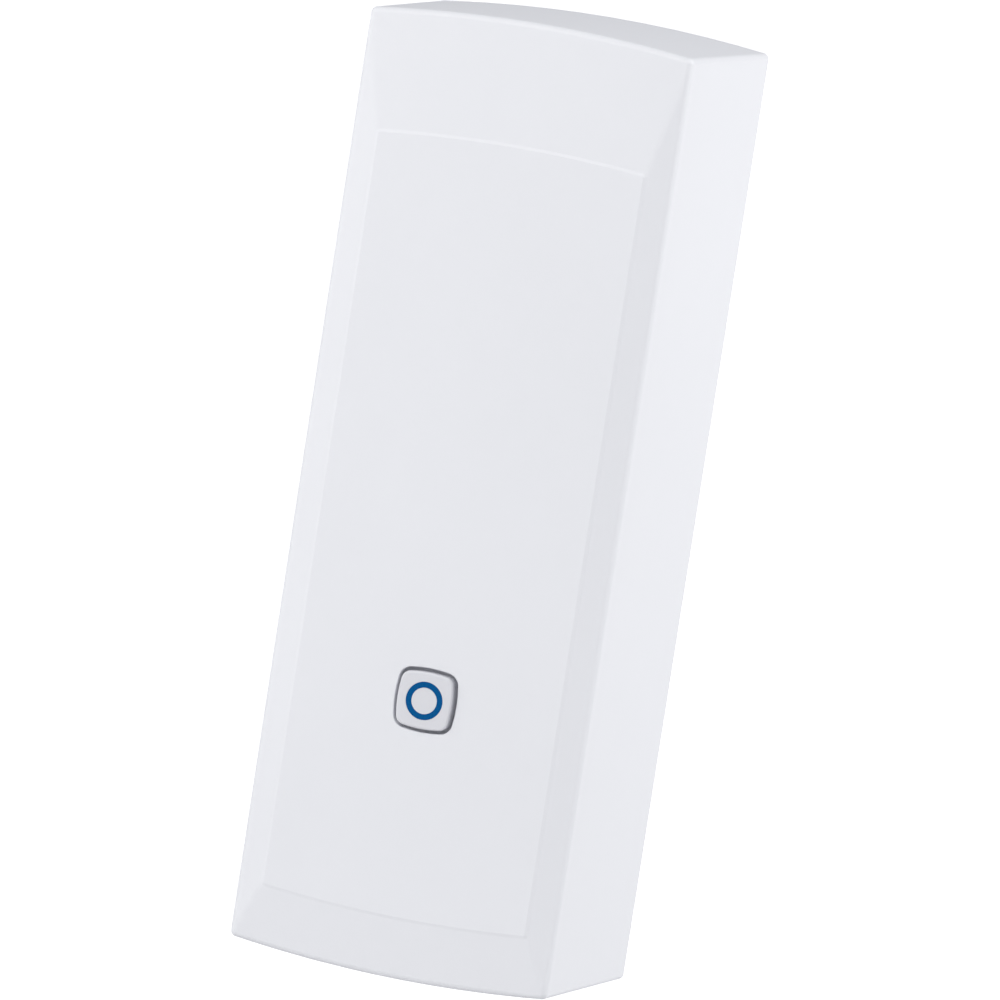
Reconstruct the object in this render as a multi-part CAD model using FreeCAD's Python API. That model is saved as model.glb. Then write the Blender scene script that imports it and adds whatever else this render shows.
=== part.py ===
"""Battery-powered doorbell call unit for a wall: a deep drafted front cover with one lit push button,
over a base plate that carries a battery chassis, a circuit board and a push switch.

Millimetres. The wall is the plane Y = 0 and the unit stands out from it towards -Y. +Z is up and +X is
to the right of someone who faces the unit. The origin is the middle of the face that meets the wall.
Every size across the unit's thickness is a depth: a distance from the wall, measured towards -Y.
"""
import FreeCAD
import Part
import math
import os
from FreeCAD import Vector

# ---------------------------------------------------------------- driving sizes
# Front cover
BACK_WIDTH = 57.0          # across the cover where it meets the wall
BACK_HEIGHT = 158.0        # from the top of the upper end arc to the foot of the lower one, at the wall
COVER_DEPTH = 41.7         # from the wall to the cover's front edge
DRAFT_ANGLE = 2.05         # degrees by which every side wall leans in towards the front
END_RADIUS = 222.0         # the bowed top and bottom ends
EDGE_RADIUS = 1.0          # of the cover's long corners and its front edge
INNER_CORNER_RADIUS = 0.8
COVER_WALL = 2.0
WALL_REVEAL = 0.4          # shadow gap between the cover's rim and the wall
RIM_FILLET = 0.3

# Raised panel on the cover's front, with a sloping border all round
PANEL_RISE = 1.1
PANEL_STEP = 0.15          # the last of that rise, as a fine bevel round the panel
PANEL_BEVEL = 0.5          # the width of that bevel
PANEL_CORNER_RADIUS = 0.8
CREASE_RADIUS = 4.0        # of the soft creases between the border's slopes
PANEL_SIDE_MARGIN = 4.3
PANEL_TOP_MARGIN = 19.5
PANEL_BOTTOM_MARGIN = 9.7

# Push button
BUTTON_HEIGHT = 45.5       # of its centre above the foot of the front's lower end arc
CAP_SIZE = 9.2             # across the flats of the square cap
CAP_GAP = 0.6              # all round, between the cap and its hole
CAP_CORNER_RADIUS = 1.5
CAP_SIDE_RADIUS = 20.0     # the cap's sides bulge a little
CAP_PROUD = 0.8
CAP_FILLET = 0.35
HOLE_FILLET = 0.2
BUTTON_TRAVEL = 0.6
FLANGE_LIP = 1.8           # how far the retaining flange reaches past the cap, each side
FLANGE_THICKNESS = 1.0
FLANGE_CLEARANCE = 0.05
RING_OUTER_RADIUS = 3.1
RING_INNER_RADIUS = 2.15
RING_FLANGE_LIP = 0.6      # outside the spring that presses on it
RING_FLANGE_THICKNESS = 0.6
FIT_CLEARANCE = 0.03       # round each piece that is pressed into another

# Button guide, screwed to two bosses inside the cover
GUIDE_THICKNESS = 1.4
GUIDE_END_LIP = 3.8        # of the guide beyond each boss's middle
GUIDE_HEIGHT = 14.0
GUIDE_CORNER_RADIUS = 3.0
GUIDE_BOSS_GAP = 2.3       # between a boss and the button's flange
GUIDE_BOSS_RADIUS = 2.6
GUIDE_BORE_CLEARANCE = 0.12
GUIDE_LIGHT_RADIUS = 1.1
GUIDE_SCREW_LENGTH = 5.0
COLLAR_WALL = 0.55
COLLAR_RISE = 0.8
SPRING_CLEARANCE = 0.15    # between the spring and the guide's collar
SPRING_LENGTH = 3.0
SPRING_WIRE = 0.45
SPRING_TURNS = 3.5
RUNS_PER_TURN = 16         # straight runs in each turn of every wire spring

# Base plate
FLOOR_THICKNESS = 2.0
RIM_THICKNESS = 1.6
RIM_DEPTH = 9.0
RIM_CLEARANCE = 0.4        # between the cover's inner wall and the base plate's rim
WALL_HOLE_RADIUS = 2.25
WALL_HOLE_INSET = 9.5      # of each wall screw's middle from the end of the unit
WALL_HOLE_BOSS_RADIUS = 5.2
WALL_HOLE_BOSS_DEPTH = 3.6
COUNTERSINK_RADIUS = 4.2
BOSS_RADIUS = 3.0
PILOT_CLEARANCE = 0.05     # round a screw in its pilot hole
PILOT_DEPTH = 9.0
RIB_THICKNESS = 1.2
RIB_DEPTH = 5.0
DETENT_CLEARANCE = 0.1     # between the cover's bumps and the rim they pass over
DETENT_RADIUS = 1.0
GROOVE_RADIUS = 1.3
GROOVE_SINK = 0.5
DETENT_LENGTH = 9.0
DETENT_DEPTH = 4.6
DETENT_RISE = 45.0         # of each detent above or below the unit's middle
PRY_NOTCH_WIDTH = 10.0
PRY_NOTCH_DEPTH = 2.2

# Batteries: four AA cells, two side by side and two deep
CELL_RADIUS = 7.15
CELL_LENGTH = 50.2
NUB_RADIUS = 2.75
NUB_LENGTH = 1.2
CELL_GAP = 0.9             # between neighbouring cells
CELL_ROUNDING = 0.5

# Chassis: battery well above, deck for the circuit board below
WELL_WALL = 1.5
WELL_TOP_ROOM = 17.2       # between the well and the top of the unit
WELL_SIDE_GAP = 0.45
WELL_FLOOR_GAP = 1.2       # between the base plate and the well's floor
WELL_OPEN_WALL = 5.0       # how far the front cells stand out of the well's side walls
NOTCH_RADIUS = 9.0         # finger scallops for lifting the cells out
NOTCH_OFFSET = 2.0
SADDLE_THICKNESS = 2.0
TAB_END_GAP = 0.8          # between a fixing tab and the base plate's rim
TAB_HOLE_INSET = 3.5
TAB_WIDTH = 8.0
TAB_DEPTH = 8.0
TAB_THICKNESS = 2.0
DECK_THICKNESS = 1.5
DECK_MARGIN = 1.0          # of the deck past the board at its sides
DECK_FOOT_MARGIN = 2.0
DECK_WINDOW_WIDTH = 24.0
DECK_WINDOW_HEIGHT = 26.0
STANDOFF_HEIGHT = 1.8
LEAD_SLOT_WIDTH = 20.0
LEAD_SLOT_HEIGHT = 6.0
WEB_X = 11.8                # webs that brace the deck against the well
WEB_REACH = 14.0

# Battery contacts
CONTACT_THICKNESS = 0.4
CONTACT_MARGIN = 1.2       # between a contact plate's edge and the outside of its cells
BUMP_HEIGHT = 1.0
BUMP_RADIUS = 3.0
CONTACT_SPRING_LENGTH = 4.8
CONTACT_SPRING_WIRE = 0.7
CONTACT_SPRING_TURNS = 4.0
CONTACT_SPRING_INSET = 1.35
CONTACT_SPRING_TIP = 2.9
SOLDER_TAB_WIDTH = 3.0
SOLDER_TAB_LENGTH = 2.6
SLOT_CLEARANCE = 0.3

# Circuit board
BOARD_THICKNESS = 1.6
BOARD_SIDE_GAP = 4.4       # between the board's edge and the cover's inner wall
WELL_BOARD_GAP = 7.0
BOARD_FOOT_ROOM = 15.0     # between the board and the foot of the unit
BOARD_CORNER_RADIUS = 2.0
BOARD_HOLE_CLEARANCE = 0.35
SCREW_HOLE_CLEARANCE = 0.2
BOARD_HOLE_INSET = 3.4
SWITCH_SIZE = 6.0
LED_SIZE = 1.6
LED_GAP = 0.16             # between a light and the switch's sides
SWITCH_BODY_HEIGHT = 3.5
SWITCH_TRAVEL = 0.25
PLUNGER_RADIUS = 1.7
PLUNGER_HEIGHT = 0.9
STEM_GAP = 0.4             # between the button's stem and the switch plunger at rest
ANTENNA_RADIUS = 0.5
ANTENNA_REACH = 35.0       # above the board
ANTENNA_LIFT = 4.0
LEAD_RADIUS = 0.65
LEAD_BEND = 0.8
LEAD_DROP = 4.2            # from the battery well to where the leads cross

# Screws
SCREW_SHANK_RADIUS = 1.0
SCREW_HEAD_RADIUS = 2.2
SCREW_HEAD_HEIGHT = 1.6
SCREW_BITE = 6.0           # of the board's screws in their posts
TAB_SCREW_TIP_GAP = 1.5    # between the tab screws' tips and the base plate's floor

# ---------------------------------------------------------------- sizes that follow
DRAFT = math.tan(math.radians(DRAFT_ANGLE))
FRONT_INNER = COVER_DEPTH + PANEL_RISE - COVER_WALL      # depth of the cover's inner face behind the panel
FRONT_APEX = BACK_HEIGHT / 2 - COVER_DEPTH * DRAFT       # half height at the cover's front edge
BUTTON_Z = BUTTON_HEIGHT - FRONT_APEX
CAP_FRONT = COVER_DEPTH + PANEL_RISE + CAP_PROUD
FLANGE_SIZE = CAP_SIZE + 2 * FLANGE_LIP
SPRING_RADIUS = RING_INNER_RADIUS + GUIDE_BORE_CLEARANCE + COLLAR_WALL + SPRING_CLEARANCE + SPRING_WIRE / 2
RING_FLANGE_RADIUS = SPRING_RADIUS + SPRING_WIRE / 2 + RING_FLANGE_LIP
FLANGE_FRONT = FRONT_INNER - FLANGE_CLEARANCE
FLANGE_BACK = FLANGE_FRONT - FLANGE_THICKNESS
RING_BACK = FLANGE_BACK - RING_FLANGE_THICKNESS
GUIDE_FRONT = RING_BACK - SPRING_LENGTH
GUIDE_BACK = GUIDE_FRONT - GUIDE_THICKNESS
STEM_END = GUIDE_BACK - 0.5
PLUNGER_TIP = STEM_END - STEM_GAP
SWITCH_TOP = PLUNGER_TIP - PLUNGER_HEIGHT
BOARD_FRONT = SWITCH_TOP - SWITCH_BODY_HEIGHT
BOARD_BACK = BOARD_FRONT - BOARD_THICKNESS
DECK_FRONT = BOARD_BACK - STANDOFF_HEIGHT
DECK_BACK = DECK_FRONT - DECK_THICKNESS

PILOT_RADIUS = SCREW_SHANK_RADIUS + PILOT_CLEARANCE
GUIDE_BOSS_X = FLANGE_SIZE / 2 + GUIDE_BOSS_RADIUS + GUIDE_BOSS_GAP
GUIDE_WIDTH = 2 * (GUIDE_BOSS_X + GUIDE_END_LIP)
LED_OFFSET = (SWITCH_SIZE + LED_SIZE) / 2 + LED_GAP

RIM_INSET = COVER_WALL + RIM_CLEARANCE
RIM_INNER_HALF = BACK_WIDTH / 2 - RIM_INSET - RIM_THICKNESS
DETENT_HEIGHT = RIM_CLEARANCE - DETENT_CLEARANCE
CELL_PITCH = 2 * CELL_RADIUS + CELL_GAP
WELL_BACK = FLOOR_THICKNESS + WELL_FLOOR_GAP
WELL_FLOOR = WELL_BACK + WELL_WALL
CELL_COLUMNS = (-CELL_PITCH / 2, CELL_PITCH / 2)
REAR_LAYER = WELL_FLOOR + WELL_SIDE_GAP + CELL_RADIUS
CELL_LAYERS = (REAR_LAYER, REAR_LAYER + CELL_PITCH)
WELL_INNER_HALF = CELL_PITCH / 2 + CELL_RADIUS + WELL_SIDE_GAP
WELL_OUTER_HALF = WELL_INNER_HALF + WELL_WALL
WELL_FRONT = CELL_LAYERS[1] + CELL_RADIUS - WELL_OPEN_WALL
BAY_LENGTH = 2 * CONTACT_THICKNESS + CONTACT_SPRING_LENGTH + CELL_LENGTH + BUMP_HEIGHT
WELL_TOP = BACK_HEIGHT / 2 - WELL_TOP_ROOM
BAY_TOP = WELL_TOP - WELL_WALL
BAY_BOTTOM = BAY_TOP - BAY_LENGTH
WELL_FOOT = BAY_BOTTOM - WELL_WALL
CONTACT_SPRING_BASE = CELL_RADIUS - CONTACT_MARGIN - CONTACT_SPRING_INSET
TAB_Z = WELL_TOP - TAB_WIDTH
TAB_END = RIM_INNER_HALF - TAB_END_GAP
TAB_HOLE_X = TAB_END - TAB_HOLE_INSET
TAB_SCREW_LENGTH = TAB_DEPTH + TAB_THICKNESS - FLOOR_THICKNESS - TAB_SCREW_TIP_GAP

BOARD_HALF_WIDTH = BACK_WIDTH / 2 - BOARD_FRONT * DRAFT - COVER_WALL - BOARD_SIDE_GAP
BOARD_TOP = WELL_FOOT - WELL_BOARD_GAP
BOARD_BOTTOM = BOARD_FOOT_ROOM - BACK_HEIGHT / 2
DECK_HALF_WIDTH = BOARD_HALF_WIDTH + DECK_MARGIN
DECK_FOOT = BOARD_BOTTOM - DECK_FOOT_MARGIN
LEAD_LEVEL = WELL_FOOT - LEAD_DROP

BOARD_HOLES = [(x, z) for x in (-BOARD_HALF_WIDTH + BOARD_HOLE_INSET, BOARD_HALF_WIDTH - BOARD_HOLE_INSET)
               for z in (BOARD_BOTTOM + BOARD_HOLE_INSET, BOARD_TOP - BOARD_HOLE_INSET)]
TAB_HOLES = [(-TAB_HOLE_X, TAB_Z), (TAB_HOLE_X, TAB_Z)]
WALL_HOLE_Z = BACK_HEIGHT / 2 - WALL_HOLE_INSET
WALL_HOLES = [(0, -WALL_HOLE_Z), (0, WALL_HOLE_Z)]
GUIDE_HOLES = [(-GUIDE_BOSS_X, BUTTON_Z), (GUIDE_BOSS_X, BUTTON_Z)]
LED_PLACES = [(x, BUTTON_Z + z) for x in (-LED_OFFSET, LED_OFFSET) for z in (-LED_OFFSET, LED_OFFSET)]
OUTWARD = Vector(0, -1, 0)


# ---------------------------------------------------------------- helpers
def box(x_low, x_high, depth_low, depth_high, z_low, z_high):
    """A block between two depths."""
    corner = Vector(x_low, -depth_high, z_low)
    return Part.makeBox(x_high - x_low, depth_high - depth_low, z_high - z_low, corner)


def peg(x, z, depth_low, depth_high, radius):
    """A round bar that stands out from the wall."""
    return Part.makeCylinder(radius, depth_high - depth_low, Vector(x, -depth_low, z), OUTWARD)


def upright(x, depth, z_low, z_high, radius):
    """A round bar along Z."""
    return Part.makeCylinder(radius, z_high - z_low, Vector(x, -depth, z_low), Vector(0, 0, 1))


def joined(pieces):
    """One shape from several that touch or overlap."""
    return pieces[0].multiFuse(pieces[1:]).removeSplitter()


def rounded_prism(x_mid, z_mid, width, height, radius, depth_low, depth_high):
    """A flat plate with rounded corners."""
    plate = box(x_mid - width / 2, x_mid + width / 2, depth_low, depth_high,
                z_mid - height / 2, z_mid + height / 2)
    corners = [e for e in plate.Edges if abs(e.tangentAt(e.FirstParameter).y) > 0.99]
    return plate.makeFillet(radius, corners)


def bowed_wire(half_width, top, bottom, radius, depth):
    """An upright outline with straight sides and bowed ends, at one depth."""
    y = -depth
    drop = radius - math.sqrt(radius ** 2 - half_width ** 2)
    right_top = Vector(half_width, y, top - drop)
    left_top = Vector(-half_width, y, top - drop)
    left_bottom = Vector(-half_width, y, bottom + drop)
    right_bottom = Vector(half_width, y, bottom + drop)
    return Part.Wire([
        Part.Arc(right_top, Vector(0, y, top), left_top).toShape(),
        Part.LineSegment(left_top, left_bottom).toShape(),
        Part.Arc(left_bottom, Vector(0, y, bottom), right_bottom).toShape(),
        Part.LineSegment(right_bottom, right_top).toShape(),
    ])


def housing_wire(inset, depth):
    """The drafted housing's outline at a depth, moved in by inset."""
    shrink = depth * DRAFT + inset
    apex = BACK_HEIGHT / 2 - shrink
    return bowed_wire(BACK_WIDTH / 2 - shrink, apex, -apex, END_RADIUS - shrink, depth)


def panel_wire(inset, depth):
    """The raised panel's outline, moved in by inset."""
    half = BACK_WIDTH / 2 - COVER_DEPTH * DRAFT - PANEL_SIDE_MARGIN - inset
    top = FRONT_APEX - PANEL_TOP_MARGIN - inset
    bottom = -FRONT_APEX + PANEL_BOTTOM_MARGIN + inset
    return bowed_wire(half, top, bottom, END_RADIUS, depth)


def between(wires):
    """The solid that runs straight from one outline to the next."""
    return Part.makeLoft(wires, True, True)


def corner_edges(shape, length):
    """The four edges that run back from the corners, each at least this deep."""
    return [e for e in shape.Edges if e.BoundBox.YLength > length]


def housing_block(inset, depth_low, depth_high):
    """The drafted housing's outline as a solid between two depths, with its corners rounded."""
    block = between([housing_wire(inset, depth_low), housing_wire(inset, depth_high)])
    radius = max(EDGE_RADIUS - inset, INNER_CORNER_RADIUS)
    return block.makeFillet(radius, corner_edges(block, (depth_high - depth_low) * 0.9))


def domed_block(inset, depth_low, depth_edge, depth_panel):
    """The housing's outline with the raised panel on its front, corners left sharp."""
    block = between([housing_wire(inset, depth_low), housing_wire(inset, depth_edge)])
    front = between([housing_wire(inset, depth_edge), panel_wire(inset, depth_panel)])
    return block.fuse(front)


def cushion_prism(size, side_radius, corner, depth_low, depth_high):
    """A square with bulging sides and rounded corners, centred on the button, between two depths."""
    half = size / 2
    y = -depth_low
    offset = half - side_radius
    reach = side_radius - corner
    mid = (offset + math.sqrt(2 * reach ** 2 - offset ** 2)) / 2
    scale = side_radius / reach
    near = offset + (mid - offset) * scale
    far = mid * scale
    bulge = mid + corner * math.sqrt(0.5)
    edges = []
    for turn in range(4):
        def spot(x, z):
            c, s = math.cos(turn * math.pi / 2), math.sin(turn * math.pi / 2)
            return Vector(x * c - z * s, y, BUTTON_Z + x * s + z * c)
        edges.append(Part.Arc(spot(near, -far), spot(half, 0), spot(near, far)).toShape())
        edges.append(Part.Arc(spot(near, far), spot(bulge, bulge), spot(far, near)).toShape())
    return Part.Face(Part.Wire(edges)).extrude(OUTWARD * (depth_high - depth_low))


def edges_at(shape, depth, tolerance=0.01):
    """The edges that lie wholly at one depth."""
    found = []
    for edge in shape.Edges:
        bounds = edge.BoundBox
        if abs(bounds.YMin + depth) < tolerance and abs(bounds.YMax + depth) < tolerance:
            found.append(edge)
    return found


def coil(radius_low, radius_high, length, turns, wire, origin, axis):
    """A wire spring of the given outer length, wound in short runs, with half a turn flat at each end."""
    rise = length - wire
    flat = 0.5
    steps = int(turns * RUNS_PER_TURN)
    points = []
    for step in range(steps + 1):
        turn = turns * step / steps
        share = min(max(turn - flat, 0) / (turns - 2 * flat), 1)
        radius = radius_low + (radius_high - radius_low) * step / steps
        angle = 2 * math.pi * turn
        points.append(Vector(radius * math.cos(angle), radius * math.sin(angle), wire / 2 + rise * share))
    profile = Part.Wire(Part.makeCircle(wire / 2, points[0], points[1] - points[0]))
    spring = Part.makePolygon(points).makePipeShell([profile], True, False, 1)
    spring.Placement = FreeCAD.Placement(origin, FreeCAD.Rotation(Vector(0, 0, 1), axis))
    return spring


def rounded_path(points, radius):
    """Straight runs joined by tangent arcs of one radius."""
    edges = []
    start = points[0]
    for here, ahead in zip(points[1:-1], points[2:]):
        back = (start - here).normalize()
        on = (ahead - here).normalize()
        half_angle = math.acos(max(-1, min(1, back.dot(on)))) / 2
        reach = radius / math.tan(half_angle)
        first = here + back * reach
        last = here + on * reach
        inward = (back + on).normalize()
        centre = here + inward * (radius / math.sin(half_angle))
        edges.append(Part.LineSegment(start, first).toShape())
        edges.append(Part.Arc(first, centre - inward * radius, last).toShape())
        start = last
    edges.append(Part.LineSegment(start, points[-1]).toShape())
    return Part.Wire(edges)


def round_wire(points, bend, radius):
    """A round wire along straight runs and arcs."""
    path = rounded_path(points, bend)
    along = (points[1] - points[0]).normalize()
    profile = Part.Wire(Part.makeCircle(radius, points[0], along))
    return path.makePipeShell([profile], True, True)


def screw(x, z, seat, length):
    """A pan-head screw with a cross recess, whose head rests at depth seat and whose shank goes back."""
    head = peg(x, z, seat, seat + SCREW_HEAD_HEIGHT, SCREW_HEAD_RADIUS)
    head = head.makeFillet(0.6, edges_at(head, seat + SCREW_HEAD_HEIGHT))
    shank = peg(x, z, seat - length, seat, SCREW_SHANK_RADIUS)
    shank = shank.makeChamfer(0.4, edges_at(shank, seat - length))
    floor = seat + SCREW_HEAD_HEIGHT - 0.8
    top = seat + SCREW_HEAD_HEIGHT + 0.1
    recess = box(x - 1.2, x + 1.2, floor, top, z - 0.25, z + 0.25)
    recess = recess.fuse(box(x - 0.25, x + 0.25, floor, top, z - 1.2, z + 1.2))
    return head.fuse(shank).cut(recess).removeSplitter()


def screws(places, seat, length):
    """Identical screws as separate solids in one node."""
    return Part.makeCompound([screw(x, z, seat, length) for x, z in places])


# ---------------------------------------------------------------- cover and button
def front_cover():
    """The deep moulded shell with its raised panel, button hole, guide bosses and detents."""
    outer = domed_block(0, WALL_REVEAL, COVER_DEPTH, COVER_DEPTH + PANEL_RISE - PANEL_STEP)
    creases = [e for e in outer.Edges if PANEL_STEP < e.BoundBox.YLength < 2 * PANEL_RISE]
    outer = outer.makeFillet(CREASE_RADIUS, creases)
    rounded = corner_edges(outer, COVER_DEPTH * 0.9) + edges_at(outer, COVER_DEPTH)
    outer = outer.makeFillet(EDGE_RADIUS, rounded).fuse(panel_plate()).removeSplitter()
    outer = outer.makeFillet(RIM_FILLET, edges_at(outer, WALL_REVEAL))
    cavity = domed_block(COVER_WALL, 0, COVER_DEPTH - COVER_WALL, FRONT_INNER)
    cavity = cavity.makeFillet(INNER_CORNER_RADIUS, corner_edges(cavity, COVER_DEPTH * 0.9))
    body = outer.cut(cavity)

    bosses = [peg(x, z, GUIDE_FRONT, FRONT_INNER + 0.5, GUIDE_BOSS_RADIUS) for x, z in GUIDE_HOLES]
    body = joined([body] + bosses + cover_detents())
    hole = cushion_prism(CAP_SIZE + 2 * CAP_GAP, CAP_SIDE_RADIUS + CAP_GAP, CAP_CORNER_RADIUS + CAP_GAP,
                         FRONT_INNER - 1, CAP_FRONT + 1)
    body = body.cut(hole)
    mouth = [e for e in edges_at(body, COVER_DEPTH + PANEL_RISE)
             if abs(e.BoundBox.Center.z - BUTTON_Z) < CAP_SIZE and abs(e.BoundBox.Center.x) < CAP_SIZE]
    body = body.makeFillet(HOLE_FILLET, mouth)
    for x, z in GUIDE_HOLES:
        body = body.cut(peg(x, z, GUIDE_FRONT - 1, FRONT_INNER - 0.4, PILOT_RADIUS))
    notch = box(-PRY_NOTCH_WIDTH / 2, PRY_NOTCH_WIDTH / 2, 0, WALL_REVEAL + PRY_NOTCH_DEPTH,
                -BACK_HEIGHT / 2 - 1, -BACK_HEIGHT / 2 + COVER_WALL + 1)
    return body.cut(notch)


def panel_plate():
    """The raised panel's own thin plate, with rounded corners and a shallow bevel round its edge."""
    front = COVER_DEPTH + PANEL_RISE
    plate = between([panel_wire(0, front - 3 * PANEL_STEP), panel_wire(0, front)])
    plate = plate.makeFillet(PANEL_CORNER_RADIUS, corner_edges(plate, 2 * PANEL_STEP))
    return plate.makeChamfer(PANEL_STEP, PANEL_BEVEL, edges_at(plate, front))


def cover_detents():
    """Four shallow bumps inside the cover that rest in the base plate's grooves."""
    wall = BACK_WIDTH / 2 - DETENT_DEPTH * DRAFT - COVER_WALL
    bumps = []
    for side in (-1, 1):
        for level in (-DETENT_RISE, DETENT_RISE):
            x = side * (wall + DETENT_RADIUS - DETENT_HEIGHT)
            bumps.append(upright(x, DETENT_DEPTH, level - DETENT_LENGTH / 2, level + DETENT_LENGTH / 2,
                                 DETENT_RADIUS))
    return bumps


def button_guide():
    """The plate behind the button that guides its stem and seats the return spring."""
    plate = rounded_prism(0, BUTTON_Z, GUIDE_WIDTH, GUIDE_HEIGHT, GUIDE_CORNER_RADIUS,
                          GUIDE_BACK, GUIDE_FRONT)
    bore_radius = RING_INNER_RADIUS + GUIDE_BORE_CLEARANCE
    collar = peg(0, BUTTON_Z, GUIDE_BACK, GUIDE_FRONT + COLLAR_RISE, bore_radius + COLLAR_WALL)
    plate = plate.fuse(collar)
    cuts = [peg(0, BUTTON_Z, GUIDE_BACK - 1, GUIDE_FRONT + COLLAR_RISE + 1, bore_radius)]
    cuts += [peg(x, z, GUIDE_BACK - 1, GUIDE_FRONT + 1, SCREW_SHANK_RADIUS + SCREW_HOLE_CLEARANCE)
             for x, z in GUIDE_HOLES]
    cuts += [peg(x, z, GUIDE_BACK - 1, GUIDE_FRONT + 1, GUIDE_LIGHT_RADIUS) for x, z in LED_PLACES]
    return plate.cut(Part.makeCompound(cuts)).removeSplitter()


def button_cap():
    """The square cap with its retaining flange, bored for the light ring."""
    head = cushion_prism(CAP_SIZE, CAP_SIDE_RADIUS, CAP_CORNER_RADIUS, FLANGE_FRONT - 0.2, CAP_FRONT)
    head = head.makeFillet(CAP_FILLET, edges_at(head, CAP_FRONT))
    flange = cushion_prism(FLANGE_SIZE, CAP_SIDE_RADIUS, CAP_CORNER_RADIUS + 1, FLANGE_BACK, FLANGE_FRONT)
    bore = peg(0, BUTTON_Z, FLANGE_BACK - 1, CAP_FRONT + 1, RING_OUTER_RADIUS)
    return head.fuse(flange).cut(bore).removeSplitter()


def light_ring():
    """The round light guide that shows as a ring in the cap, flanged at its back."""
    tube = peg(0, BUTTON_Z, RING_BACK, CAP_FRONT, RING_OUTER_RADIUS - FIT_CLEARANCE)
    flange = peg(0, BUTTON_Z, RING_BACK, FLANGE_BACK, RING_FLANGE_RADIUS)
    bore = peg(0, BUTTON_Z, RING_BACK - 1, CAP_FRONT + 1, RING_INNER_RADIUS)
    return tube.fuse(flange).cut(bore).removeSplitter()


def button_core():
    """The middle of the button's face, whose stem goes back to the switch."""
    stem = peg(0, BUTTON_Z, STEM_END, CAP_FRONT, RING_INNER_RADIUS - FIT_CLEARANCE)
    return stem.makeChamfer(0.3, edges_at(stem, STEM_END))


def return_spring():
    """The coil spring between the guide and the button."""
    return coil(SPRING_RADIUS, SPRING_RADIUS, SPRING_LENGTH, SPRING_TURNS, SPRING_WIRE,
                Vector(0, -GUIDE_FRONT, BUTTON_Z), OUTWARD)


# ---------------------------------------------------------------- base plate and chassis
def base_plate():
    """The plate against the wall: rim, screw bosses, deck posts, ribs and detent grooves."""
    tray = housing_block(RIM_INSET, 0, RIM_DEPTH)
    hollow = housing_block(RIM_INSET + RIM_THICKNESS, FLOOR_THICKNESS, RIM_DEPTH + 1)
    pieces = [tray.cut(hollow)]
    for x, z in WALL_HOLES:
        pieces.append(peg(x, z, FLOOR_THICKNESS - 0.5, WALL_HOLE_BOSS_DEPTH, WALL_HOLE_BOSS_RADIUS))
    for x, z in BOARD_HOLES:
        pieces.append(peg(x, z, FLOOR_THICKNESS - 0.5, DECK_BACK, BOSS_RADIUS))
        outer = math.copysign(RIM_INNER_HALF + RIM_THICKNESS / 4, x)
        pieces.append(box(min(x, outer), max(x, outer), FLOOR_THICKNESS - 0.5, RIM_DEPTH - 1,
                          z - RIB_THICKNESS / 2, z + RIB_THICKNESS / 2))
    for x, z in TAB_HOLES:
        pieces.append(peg(x, z, FLOOR_THICKNESS - 0.5, TAB_DEPTH, BOSS_RADIUS))
    cross_half = BOARD_HALF_WIDTH - BOARD_HOLE_INSET - 1
    for z in (BOARD_HOLES[0][1], BOARD_HOLES[1][1]):
        pieces.append(box(-cross_half, cross_half, FLOOR_THICKNESS - 0.5, RIB_DEPTH,
                          z - RIB_THICKNESS / 2, z + RIB_THICKNESS / 2))
    body = joined(pieces)

    for x, z in WALL_HOLES:
        body = body.cut(peg(x, z, -1, WALL_HOLE_BOSS_DEPTH + 1, WALL_HOLE_RADIUS))
        sink_depth = COUNTERSINK_RADIUS - WALL_HOLE_RADIUS
        sink = Part.makeCone(WALL_HOLE_RADIUS, COUNTERSINK_RADIUS, sink_depth,
                             Vector(x, -(WALL_HOLE_BOSS_DEPTH - sink_depth), z), OUTWARD)
        body = body.cut(sink)
    for x, z in BOARD_HOLES:
        body = body.cut(peg(x, z, DECK_BACK - PILOT_DEPTH, DECK_BACK + 1, PILOT_RADIUS))
    for x, z in TAB_HOLES:
        body = body.cut(peg(x, z, FLOOR_THICKNESS, TAB_DEPTH + 1, PILOT_RADIUS))
    return body.cut(Part.makeCompound(detent_grooves()))


def detent_grooves():
    """The grooves in the rim that the cover's bumps rest in."""
    face = BACK_WIDTH / 2 - DETENT_DEPTH * DRAFT - RIM_INSET
    grooves = []
    for side in (-1, 1):
        for level in (-DETENT_RISE, DETENT_RISE):
            half = DETENT_LENGTH / 2 + GROOVE_SINK
            x = side * (face + GROOVE_RADIUS - GROOVE_SINK)
            grooves.append(upright(x, DETENT_DEPTH, level - half, level + half, GROOVE_RADIUS))
    return grooves


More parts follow.
